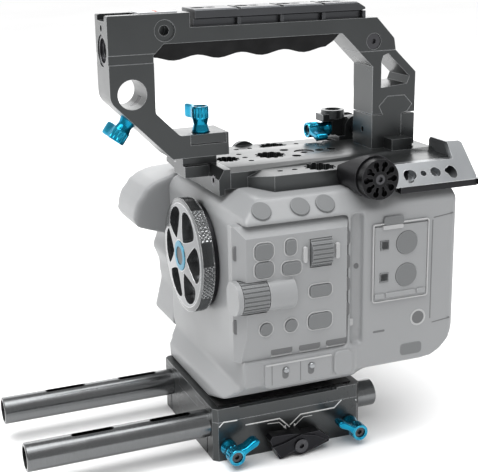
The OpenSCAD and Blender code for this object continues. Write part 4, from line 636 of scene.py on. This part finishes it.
LEVER_PLACES = {
    "front_rod_lever": side_lever("front_rod_bolt", WING_DEG),
    "rear_rod_lever": side_lever("rear_rod_bolt", 180 - WING_DEG),
    "front_jaw_lever": jaw_lever(),
    "rod_clamp_lever": clamp_lever(),
    "arm_lever": arm_lever(),
}
for lever, place in LEVER_PLACES.items():
    dress(lever_shape(lever + "_finished", place), lever)


# Camera stand-in: soft body and grip, and the panel with sloped ends at its top and bottom
VOXEL = 1.1
BODY_ROUNDS = 5
GRIP_ROUNDS = 14
PANEL_TOP_CUT = ((61.5, 127.5), (80, 127.5), (80, 160), (29, 160))
PANEL_LOW_CUT = ((61.5, 77), (80, 77), (80, 61.3), (58.15, 61.3))
PANEL_CUT_Y = 60
PANEL_EDGE = 0.9


def soft_copy(node, rounds):
    """A node's shape as one smooth moulding."""
    obj = linked(node + "_finished", NODES[node].data.copy())
    remesh = obj.modifiers.new("remesh", "REMESH")
    remesh.mode = "VOXEL"
    remesh.voxel_size = VOXEL * MM
    smooth = obj.modifiers.new("smooth", "SMOOTH")
    smooth.factor = 0.5
    smooth.iterations = rounds
    final_mesh(obj)
    smooth_faces(obj)
    dress(obj, node)
    return obj


def sloped_panel():
    panel = cleaned_copy("camera_control_panel")
    for name, wedge in (("top_wedge", PANEL_TOP_CUT), ("low_wedge", PANEL_LOW_CUT)):
        cut(panel, Build().prism(wedge, "y", -PANEL_CUT_Y, PANEL_CUT_Y).done(name))
    bevelled(panel, PANEL_EDGE, 3)
    dress(panel, "camera_control_panel")
    return panel


SKINS = []
for skin in (soft_copy("camera_body", BODY_ROUNDS), soft_copy("camera_grip", GRIP_ROUNDS), sloped_panel()):
    bpy.context.view_layer.update()
    SKINS.append(BVHTree.FromObject(skin, bpy.context.evaluated_depsgraph_get()))


def surface_x(y, z):
    """How far out the camera's operator side stands at a place on it."""
    start, ahead = Vector((0.3, y * MM, z * MM)), Vector((-1, 0, 0))
    hits = [tree.ray_cast(start, ahead)[0] for tree in SKINS]
    return max(hit.x / MM for hit in hits if hit is not None)


def on_camera(name, outline, out, material, bevel, node="camera_body"):
    """A detail that stands out of the camera's operator side, from an outline in Y and Z."""
    sink = 1.2
    y = sum(p[0] for p in outline) / len(outline)
    z = sum(p[1] for p in outline) / len(outline)
    x = surface_x(y, z)
    add_to(Build().prism(outline, "x", x - sink, x + out).done(name, bevel), node, material)


# Keys of the camera: round corners, and a light rim let into the panel round each
SLOPE_Z = 133
OPERATOR_X = 40
ROUND_KEY_POINTS = 16
ROUND_SHARE = 0.5
CORNER_SHARE = 0.36
KEY_ROOT = 2.5
RIM_GAP = 0.45
RIM_REACH = 1.0
RIM_SINK = 0.6
RIM_RISE = 0.28
KEY_CORNER_STEPS = 7


def islands(bm):
    """Groups of joined vertices."""
    bm.verts.ensure_lookup_table()
    seen, groups = set(), []
    for start in bm.verts:
        if start.index in seen:
            continue
        group, ahead = [], [start]
        seen.add(start.index)
        while ahead:
            vert = ahead.pop()
            group.append(vert)
            for edge in vert.link_edges:
                other = edge.other_vert(vert)
                if other.index not in seen:
                    seen.add(other.index)
                    ahead.append(other)
        groups.append(group)
    return groups


def keys():
    """Rebuilds the keys on the panel. The round buttons on the slope above keep their own shape."""
    kept = cleaned_copy("camera_buttons")
    bm = bmesh.new()
    bm.from_mesh(kept.data)
    flat, rims = Build(), Build()
    for group in islands(bm):
        low = [min(v.co[k] for v in group) / MM for k in range(3)]
        high = [max(v.co[k] for v in group) / MM for k in range(3)]
        cy, cz = (low[1] + high[1]) / 2, (low[2] + high[2]) / 2
        w, h = high[1] - low[1], high[2] - low[2]
        if cz > SLOPE_Z or high[0] < OPERATOR_X:
            continue
        r = (ROUND_SHARE if len(group) > ROUND_KEY_POINTS else CORNER_SHARE) * min(w, h)
        key, inner, outer = (rounded(cy, cz, w + 2 * grow, h + 2 * grow, r + grow, KEY_CORNER_STEPS)
                             for grow in (0, RIM_GAP, RIM_REACH))
        x = surface_x(cy, cz)
        flat.prism(key, "x", high[0] - KEY_ROOT, high[0])
        rims.band(outer, inner, "x", x - RIM_SINK, x + RIM_RISE)
        bmesh.ops.delete(bm, geom=group, context="VERTS")
    bm.to_mesh(kept.data)
    bm.free()
    bevelled(kept, 0.5, 3)
    dress(kept, "camera_buttons", "stand_in_detail")
    add_to(flat.done("camera_keys", 0.5, 3), "camera_buttons", "stand_in_detail")
    add_to(rims.done("camera_key_rims", 0.12), "camera_buttons", "stand_in_rim")


keys()

EAR_W = 2.4
EAR_H = 8.4
EAR_R = 1.1
EAR_ASIDE = 1.6
EAR_SINK = 0.6
EAR_RISE = 1.4


def wheel_ears():
    """Small bosses at both ends of the upper wheel."""
    low, high = box("camera_upper_wheel")
    z = (low.z + high.z) / 2
    for name, y in (("ear_front", low.y - EAR_ASIDE), ("ear_back", high.y + EAR_ASIDE)):
        x = surface_x(y, z)
        ear = Build().prism(rounded(y, z, EAR_W, EAR_H, EAR_R, 6), "x", x - EAR_SINK, x + EAR_RISE)
        add_to(ear.done("wheel_" + name, 0.5, 3), "camera_control_panel", "stand_in_rim")


wheel_ears()

# Block under the keys, standing out of the camera's side
BLOCK_ROOT_X = 55
BLOCK_RISE = 0.45
BLOCK_X = box("camera_body")[1].x + BLOCK_RISE
BLOCK_END_RISE = 0.8
BLOCK_Y = (-22.7, 15.4)
BLOCK_END_Y = (16.2, 27.0)
BLOCK_Z = (47.6, 61.2)
BLOCK_LESS = 1.4
BLOCK_DROP = 0.6
BLOCK_SEAMS_Y = (-18.9, -2.9)
SEAM_SINK = 0.5
SEAM_RISE = 0.05
BLOCK_SCREWS_Y = (-11, 3.5)
BLOCK_SCREW_Z = 55.8
BLOCK_WELL_Z = 54.3
WELL_ASIDE = 0.4
WELL_RISE = 0.12
LIP_DROP = 1.6
LIP_IN = 0.6
LIP_H = 0.7
LIP_RISE = 0.35
SCREW_HEAD = ((1.6, -0.3), (1.6, 0.6), (1.2, 1.1), (0.5, 1.3))


def lower_block():
    """The block under the keys: seams, two screws, a light lip and a round end."""
    mid_y, w = sum(BLOCK_Y) / 2, BLOCK_Y[1] - BLOCK_Y[0]
    mid_z, h = sum(BLOCK_Z) / 2, BLOCK_Z[1] - BLOCK_Z[0]
    main_z = mid_z - BLOCK_DROP
    main = Build().prism(rounded(mid_y, main_z, w, h - BLOCK_LESS, 0.8), "x", BLOCK_ROOT_X, BLOCK_X)
    add_to(main.done("low_block", 0.6, 3), "camera_body", "stand_in")
    end_w = BLOCK_END_Y[1] - BLOCK_END_Y[0]
    end = Build().prism(rounded(sum(BLOCK_END_Y) / 2, mid_z, end_w, h, 3.2, 8), "x", BLOCK_ROOT_X,
                        BLOCK_X + BLOCK_END_RISE)
    add_to(end.done("low_block_end", 0.9, 4), "camera_body", "stand_in")
    lip = Build().prism(rounded(mid_y, BLOCK_Z[1] - LIP_DROP, w - 2 * LIP_IN, LIP_H, 0.3), "x",
                        BLOCK_X - SEAM_SINK, BLOCK_X + LIP_RISE)
    add_to(lip.done("low_block_lip", 0.1), "camera_body", "stand_in_rim")
    seams = Build()
    for y in BLOCK_SEAMS_Y:
        seams.prism(rounded(y, main_z, 0.45, h - 3, 0.2), "x", BLOCK_X - SEAM_SINK, BLOCK_X + SEAM_RISE)
    add_to(seams.done("low_block_seams"), "camera_body", "stand_in_seam")
    for i, y in enumerate(BLOCK_SCREWS_Y):
        well = Build().prism(rounded(y - WELL_ASIDE, BLOCK_WELL_Z, 3.6, 6.6, 1.7, 7), "x",
                             BLOCK_X - SEAM_SINK, BLOCK_X + WELL_RISE)
        add_to(well.done("low_block_well_%d" % i, 0.1), "camera_body", "stand_in_seam")
        head = Build().knob([(r, BLOCK_X + rise) for r, rise in SCREW_HEAD], "x", (0, y, BLOCK_SCREW_Z), 24)
        add_to(head.done("low_block_screw_%d" % i, 0.1), "camera_body", "bracket_silver")


lower_block()

# Slots, sockets and seams on the operator's side, as places in Y and Z
PANEL_SLOTS = ((-12.2, 66.1), (3.7, 65.9), (19.1, 66.2))
SLOT_LIP_DROP = 3.1
END_OVALS = ((-35.5, 119.6), (-35.8, 81.0), (24.6, 121.3), (24.6, 108.4), (24.6, 96.2), (24.6, 82.6))
JACK_AT = (67.1, 71.7)
JACK_R = 3.5
JACK_RING_R = (3.7, 4.6)
SECOND_DOOR_TOP = ((75.1, 125.6), (87, 126.9), (87, 127.5), (75.1, 126.2))
SECOND_DOOR_LOW = ((75.9, 67.1), (87, 68.2), (87, 68.8), (75.9, 67.7))


def slots():
    """Dark slots with a light lip on the panel, and ovals on its two slanted ends."""
    panel = "camera_control_panel"
    for i, (y, z) in enumerate(PANEL_SLOTS):
        slot, lip = rounded(y, z, 12, 5, 1.6), rounded(y, z - SLOT_LIP_DROP, 11.4, 0.7, 0.3)
        on_camera("panel_slot_%d" % i, slot, 0.15, "stand_in_seam", 0.15, panel)
        on_camera("panel_slot_lip_%d" % i, lip, 0.3, "stand_in_rim", 0.1, panel)
    for i, (y, z) in enumerate(END_OVALS):
        on_camera("end_oval_%d" % i, rounded(y, z, 3.2, 7.7, 1.6), 0.2, "stand_in_seam", 0.15, panel)


def jack():
    x = surface_x(*JACK_AT)
    inner, outer = JACK_RING_R
    ring = Build().band(circle(*JACK_AT, outer), circle(*JACK_AT, inner), "x", x - 0.8, x + 0.25)
    add_to(ring.done("jack_ring", 0.15), "camera_body", "stand_in_rim")
    on_camera("jack", circle(*JACK_AT, JACK_R), 0.06, "stand_in_seam", 0.1)


slots()
jack()
for name, outline, out, material, bevel in (
        ("thin_slot", rounded(43.6, 67.3, 7, 1.2, 0.5), 0.1, "stand_in_seam", 0.1),
        ("oblong_recess", rounded(63.3, 54.5, 13.3, 6.8, 2.2), 0.12, "stand_in_detail", 0.1),
        ("second_door_top", SECOND_DOOR_TOP, 0.06, "stand_in_seam", 0),
        ("second_door_side", rounded(74.6, 97.3, 0.6, 55, 0.2), 0.06, "stand_in_seam", 0),
        ("second_door_low", SECOND_DOOR_LOW, 0.06, "stand_in_seam", 0),
        ("column_dot", circle(31.5, 104.2, 1.5), 0.3, "stand_in_seam", 0.2),
        # A light tab set where a glint falls at the bottom of the recess: a painted highlight
        ("column_tab", rounded(27.8, 74.2, 3, 4, 0.8), 0.5, "stand_in_rim", 0.2)):
    on_camera(name, outline, out, material, bevel)

# Trim of the socket door. Its pieces stand a little past TRIM_X, which lies just outside the door.
TRIM_X = 61.2
DOOR_ROOT_X = 58
DOOR_MIDDLE = (55.3, 105.1)
DOOR_SQUARES = ((45.7, 114.7), (45.5, 97.5))
HINGE_RUNS_Y = ((39.9, 45.9), (46.4, 64.5), (65.0, 70.4))
HINGE_Z = 87.2


def door_trim():
    """Two small windows, latch, lip, hinge in three runs, and a light rim."""
    for i, (y, z) in enumerate(DOOR_SQUARES):
        square = Build().prism(rounded(y, z, 4.3, 4.5, 0.6), "x", TRIM_X - 1, TRIM_X + 0.1)
        add_to(square.done("door_square_%d" % i, 0.1), "camera_port_door", "stand_in_detail")
    latch = Build().prism(rounded(50.7, 127.6, 11.6, 4.4, 1.2), "x", DOOR_ROOT_X, TRIM_X + 0.4)
    add_to(latch.done("door_latch", 0.3, 3), "camera_port_door", "stand_in_detail")
    lip = Build().prism(rounded(50.2, 124.2, 12.1, 2.2, 1.0), "x", DOOR_ROOT_X, TRIM_X + 0.7)
    add_to(lip.done("door_lip", 0.35, 3), "camera_port_door", "stand_in_rim")
    hinge = Build()
    for y0, y1 in HINGE_RUNS_Y:
        hinge.prism(rounded((y0 + y1) / 2, HINGE_Z, y1 - y0, 2.6, 1.1, 6), "x", DOOR_ROOT_X, TRIM_X + 0.55)
    add_to(hinge.done("door_hinge", 0.5, 3), "camera_port_door", "stand_in")
    outer, inner = rounded(*DOOR_MIDDLE, 33.2, 42.6, 1.4, 6), rounded(*DOOR_MIDDLE, 31.9, 41.3, 1.0, 6)
    rim = Build().band(outer, inner, "x", TRIM_X - 1.0, TRIM_X + 0.12)
    add_to(rim.done("door_rim", 0.1), "camera_port_door", "stand_in_rim")


door_trim()

# White lines on the base's operator side, in Y and Z. Most are engraved lines; the first and last wide runs
# are painted highlights on the chamfered corners of a raised panel.
MARK_SINK = 0.15
MARK_RISE = 0.05
HEAD_RISE = 0.06
WIDE_LINES = (
    # Painted highlight on the chamfered front corner of the raised panel
    ((-40.6, 20), (-38, 22.4), (-30.1, 22.1)),
    ((-25.5, 18.4), (-5.6, 18.3), (0.4, 12.1)),
    ((0.5, 13.3), (6.9, 18.4), (27.3, 18.4), (31.7, 22.2)),
    # Painted highlight on the chamfered back corner of the raised panel
    ((40.4, 20.8), (41.0, 20.2)))
THIN_LINES = (
    ((-12.8, 16.5), (-5.9, 16.1), (-2.6, 12.6)),
    ((13.9, 16.4), (8.4, 16.4), (3.5, 12.5)))
ARROW_HEADS = (
    ((-3.6, 12.9), (-1.7, 11.3), (-2.0, 13.8)),
    ((4.4, 12.9), (2.6, 11.5), (2.9, 13.9)))
WIDE_W = 0.65
THIN_W = 0.35


def base_marks():
    low, high = BASE_SIDE_X - MARK_SINK, BASE_SIDE_X + MARK_RISE
    b = Build()
    for paths, width in ((WIDE_LINES, WIDE_W), (THIN_LINES, THIN_W)):
        for path in paths:
            b.line(path, width, "x", low, high)
    for head in ARROW_HEADS:
        b.prism(head, "x", low, BASE_SIDE_X + HEAD_RISE)
    # white_mark paints both the engraved lines and the two painted highlights
    add_to(b.done("base_marks"), "base_block", "white_mark")


base_marks()

# Cap on the lens mount; it turns about a line along Y
CAP_CENTRE = (0, 0, middle_of("mount_cap").z)
CAP_R = 31.25
CAP_BACK = -36.5
CAP_RIM_FRONT = -43.6
CAP_HUB_FRONT = -45.3
CAP_FLOOR = -38.9
CAP_DISC_R = 28.4
CAP_DISC_FRONT = CAP_RIM_FRONT - 0.15
CAP_FACE_BORE_R = 8.6
CAP_HUB_R = 8.65
CAP_BORE_R = 3
CAP_STEP_R = (17.5, 19.0)
CAP_STEP_H = 1.3
RIM_STEPS = 592
RIM_ROWS = 18
RIM_PLAIN = 0.6
RIM_SPLIT_DEG = 28
HAIR = 0.05
FLOOR_GAP = 0.02
KNURL_PITCH = 2.3
KNURL_DEPTH = 0.75
KNURL_BLUNT = 0.8
KNURL_HALF_DEG = 18
PATCH_DEG = 60
PATCH_AT_DEG = 45
SCALLOP_EDGE = 0.2
SCALLOP_DEPTH = 0.7
OPENINGS = 6
LEAF_ROWS = 24
LEAF_START_R = 10.2
LEAF_LEN = 16.9
LEAF_WIDEST = 0.62
LEAF_HALF_W = 9.9
LEAF_LEAST_W = 0.8
LEAF_CURVE = 0.75
BADGE_RING = ((5.0, -45.2), (8.2, -45.2), (8.2, -45.7), (5.0, -45.8))
BADGE_MIDDLE = ((5.0, -45.0), (5.0, -45.4), (4.7, -45.5))


def leaf(middle):
    """One opening of the cap's face: a point at the hub that widens to a round outer end."""
    left, right = [], []
    for i in range(LEAF_ROWS + 1):
        u = i / LEAF_ROWS
        r = LEAF_START_R + LEAF_LEN * u
        rise = (min(u, LEAF_WIDEST) / LEAF_WIDEST) ** LEAF_CURVE
        w = max(LEAF_LEAST_W, LEAF_HALF_W * rise * dome(u, LEAF_WIDEST, 1 - LEAF_WIDEST, 0.0))
        left.append((r, w))
        right.append((r, -w))
    t = math.radians(90 - middle)
    c, s = math.cos(t), math.sin(t)
    return [(a * c - b * s, CAP_CENTRE[2] + a * s + b * c) for a, b in left + right[::-1]]


def wave(value):
    """A zigzag between 0 and 1 with a period of 1."""
    return 1 - abs(2 * (value % 1) - 1)


def knurl(t, r, y):
    """Diamond knurling in six patches, with shallow scallops between them."""
    if r < CAP_R - 0.01:
        return r
    half = PATCH_DEG / 2
    angle = (90 - math.degrees(t) - PATCH_AT_DEG + half) % PATCH_DEG - half
    if abs(angle) < KNURL_HALF_DEG:
        run, across = CAP_R * t / KNURL_PITCH, y / KNURL_PITCH
        return r - KNURL_DEPTH * (1 - min(wave(run + across), wave(run - across)) ** KNURL_BLUNT)
    share = (abs(angle) - KNURL_HALF_DEG) / (PATCH_DEG - 2 * KNURL_HALF_DEG)
    return r - SCALLOP_EDGE - SCALLOP_DEPTH * math.sin(math.pi * share)


def cap_ring(name, inner, outer, back, front, steps, bevel=0.0):
    """A flat ring about the cap's axis."""
    profile = [(inner, back), (outer, back), (outer, front), (inner, front)]
    return Build().lathe(profile, "y", CAP_CENTRE, steps).done(name, bevel)


def cap_rim():
    back, front = CAP_BACK - RIM_PLAIN, CAP_RIM_FRONT + RIM_PLAIN
    profile = [(CAP_DISC_R, CAP_BACK), (30.6, CAP_BACK), (31.0, CAP_BACK - 0.4)]
    profile += [(CAP_R, back + (front - back) * i / RIM_ROWS) for i in range(RIM_ROWS + 1)]
    profile += [(31.0, CAP_RIM_FRONT + 0.3), (30.4, CAP_RIM_FRONT), (CAP_DISC_R, CAP_DISC_FRONT)]
    rim = Build().lathe(profile, "y", CAP_CENTRE, RIM_STEPS, knurl).done("mount_cap_finished")
    split_edges(rim, RIM_SPLIT_DEG)
    dress(rim, "mount_cap")


def cap_face():
    """The dished face with its six openings."""
    outer = CAP_DISC_R + HAIR
    profile = [(CAP_FACE_BORE_R, CAP_FLOOR), (outer, CAP_FLOOR), (outer, CAP_DISC_FRONT),
               (CAP_FACE_BORE_R, CAP_HUB_FRONT)]
    face = Build().lathe(profile, "y", CAP_CENTRE, 120).done("cap_face")
    step = 360 / OPENINGS
    for k in range(OPENINGS):
        cut(face, Build().prism(leaf(step / 2 + step * k), "y", -48, -36).done("opening"))
    bevelled(face, 0.35, 2, 30)
    add_to(face, "mount_cap", "cap_face")


def cap():
    cap_rim()
    cap_face()
    floor_front = CAP_FLOOR - FLOOR_GAP
    for name, inner, outer, back, front, steps, bevel, material in (
            ("cap_floor", CAP_BORE_R, CAP_DISC_R, CAP_BACK + HAIR, floor_front, 96, 0.0, "knurled_cap"),
            ("cap_step", *CAP_STEP_R, CAP_FLOOR, CAP_FLOOR - CAP_STEP_H, 96, 0.2, "knurled_cap"),
            ("cap_hub", CAP_BORE_R, CAP_HUB_R, CAP_FLOOR, CAP_HUB_FRONT, 64, 0.2, "cap_face")):
        add_to(cap_ring(name, inner, outer, back, front, steps, bevel), "mount_cap", material)
    ring = Build().lathe(BADGE_RING, "y", CAP_CENTRE, 64)
    dress(ring.done("cap_badge_finished", 0.15), "cap_badge", "blue_badge")
    middle = Build().knob(BADGE_MIDDLE, "y", CAP_CENTRE, 48)
    add_to(middle.done("badge_middle", 0.1), "cap_badge", "black_lever")


cap()

# Ribs in the undercut of the top rail
RIBS = 4
RIB_STEP = 24
RIB_HALF_W = 0.9
RIB_H = 3.8
RIB_X = (7.2, 9.7)


def rail_ribs():
    b = Build()
    rail_front = box("top_rail")[0]
    z0, z1 = rail_front.z, rail_front.z + RIB_H
    for k in range(1, RIBS + 1):
        y = rail_front.y + RIB_STEP * k
        for side in (-1, 1):
            x0, x1 = sorted(side * x for x in RIB_X)
            b.prism([(x0, z0), (x1, z0), (x1, z1), (x0, z1)], "y", y - RIB_HALF_W, y + RIB_HALF_W)
    add_to(b.done("rail_ribs", 0.2), "top_rail")


def button_mark():
    """A mark of paint across the top of the record button."""
    low, high = box("record_button")
    outline = rounded(0, (low.y + high.y) / 2, 5.4, 1.3, 0.5)
    mark = Build().prism(outline, "z", high.z - 0.3, high.z + 0.06)
    add_to(mark.done("button_mark"), "record_button", "red_mark")


rail_ribs()
button_mark()

# Nodes that keep their shape, with the width of their rounded edges
EDGES = {
    "base_block": 0.7, "camera_plate": 0.6, "top_plate": 0.45, "front_bridge": 0.5, "handle_frame": 0.8,
    "handle_tower": 0.7, "rear_shoe": 0.6, "rear_jaw": 0.5, "front_jaw": 0.4, "arm_bracket": 0.5,
    "arm_link": 0.5, "top_rail": 0.4, "side_bracket": 0.35, "knob_housing": 0.5, "thumb_knob": 0.45,
    "tool_holder": 0.3, "release_lever": 0.6, "finger_grip": 0.9, "camera_port_door": 0.3,
    "camera_port_caps": 0.3, "record_button": 0.4, "nose_port": 0.25, "hex_tool": 0.25, "rod_near": 0.2,
    "rod_far": 0.2,
}
for node, width in EDGES.items():
    refined(node, width)
refined("camera_mount", 0.4, "black_cover")
DONE = {*EDGES, *LEVER_PLACES, "camera_body", "camera_grip", "camera_control_panel", "camera_buttons",
        "camera_mount", "mount_cap", "cap_badge"}
for node, obj in NODES.items():
    if node not in DONE:
        paint(obj, MATERIALS[SLOT_OF[node]])


# Stage and lights: sizes and places in metres
FLOOR_HALF = 9.0
WORLD_STRENGTH = 0.55
SUN_ENERGY = 2.0
SUN_WIDTH_DEG = 48
SUN_AHEAD = (-0.35, 0.25, -0.9)
# Each card: place, target, width and height, radiance
CARDS = {
    "front_card": ((-0.55, -0.55, 0.22), (0, -0.05, 0.13), (0.9, 0.5), 0.9),
    "back_card": ((-1.1, 0.45, 0.5), (0, 0, 0.12), (1.4, 0.8), 2.0),
    "top_card": ((0.05, -0.1, 1.15), (0.05, -0.1, 0), (0.55, 1.5), 4.0),
}


def facing(ahead):
    """Rotation of a lamp that shines along a direction."""
    return Vector(ahead).to_track_quat("-Z", "Y").to_euler()


def card(name, place, target, size, radiance):
    """A soft light of even radiance, never seen itself."""
    data = bpy.data.lights.new(name, "AREA")
    data.shape = "RECTANGLE"
    data.size, data.size_y = size
    data.energy = radiance * math.pi * size[0] * size[1]
    lamp = linked(name, data)
    lamp.location = place
    lamp.rotation_euler = facing(Vector(target) - Vector(place))
    lamp.visible_camera = False


def make_floor():
    mesh = bpy.data.meshes.new("floor")
    corners = [(x * FLOOR_HALF, y * FLOOR_HALF, 0) for x, y in ((-1, -1), (1, -1), (1, 1), (-1, 1))]
    mesh.from_pydata(corners, [], [(0, 1, 2, 3)])
    floor = linked("floor", mesh)
    s = Shader("floor")
    tone = s.ramp(s.noise(3, detail=3), 0.885, 0.905)
    grey = s.add("ShaderNodeCombineColor", Red=tone, Green=tone, Blue=tone)
    s.set(Base_Color=grey.outputs["Color"], Roughness=0.8, Specular_IOR_Level=0.1)
    s.bump(s.noise(900), 0.02, 0.00003)
    paint(floor, s.material)


def make_lights():
    world = bpy.data.worlds.new("studio")
    world.use_nodes = True
    background = world.node_tree.nodes["Background"].inputs
    background["Color"].default_value = (1, 1, 1, 1)
    background["Strength"].default_value = WORLD_STRENGTH
    bpy.context.scene.world = world
    data = bpy.data.lights.new("sun", "SUN")
    data.energy = SUN_ENERGY
    data.angle = math.radians(SUN_WIDTH_DEG)
    linked("sun", data).rotation_euler = facing(SUN_AHEAD)
    for name, settings in CARDS.items():
        card(name, *settings)


make_floor()
make_lights()
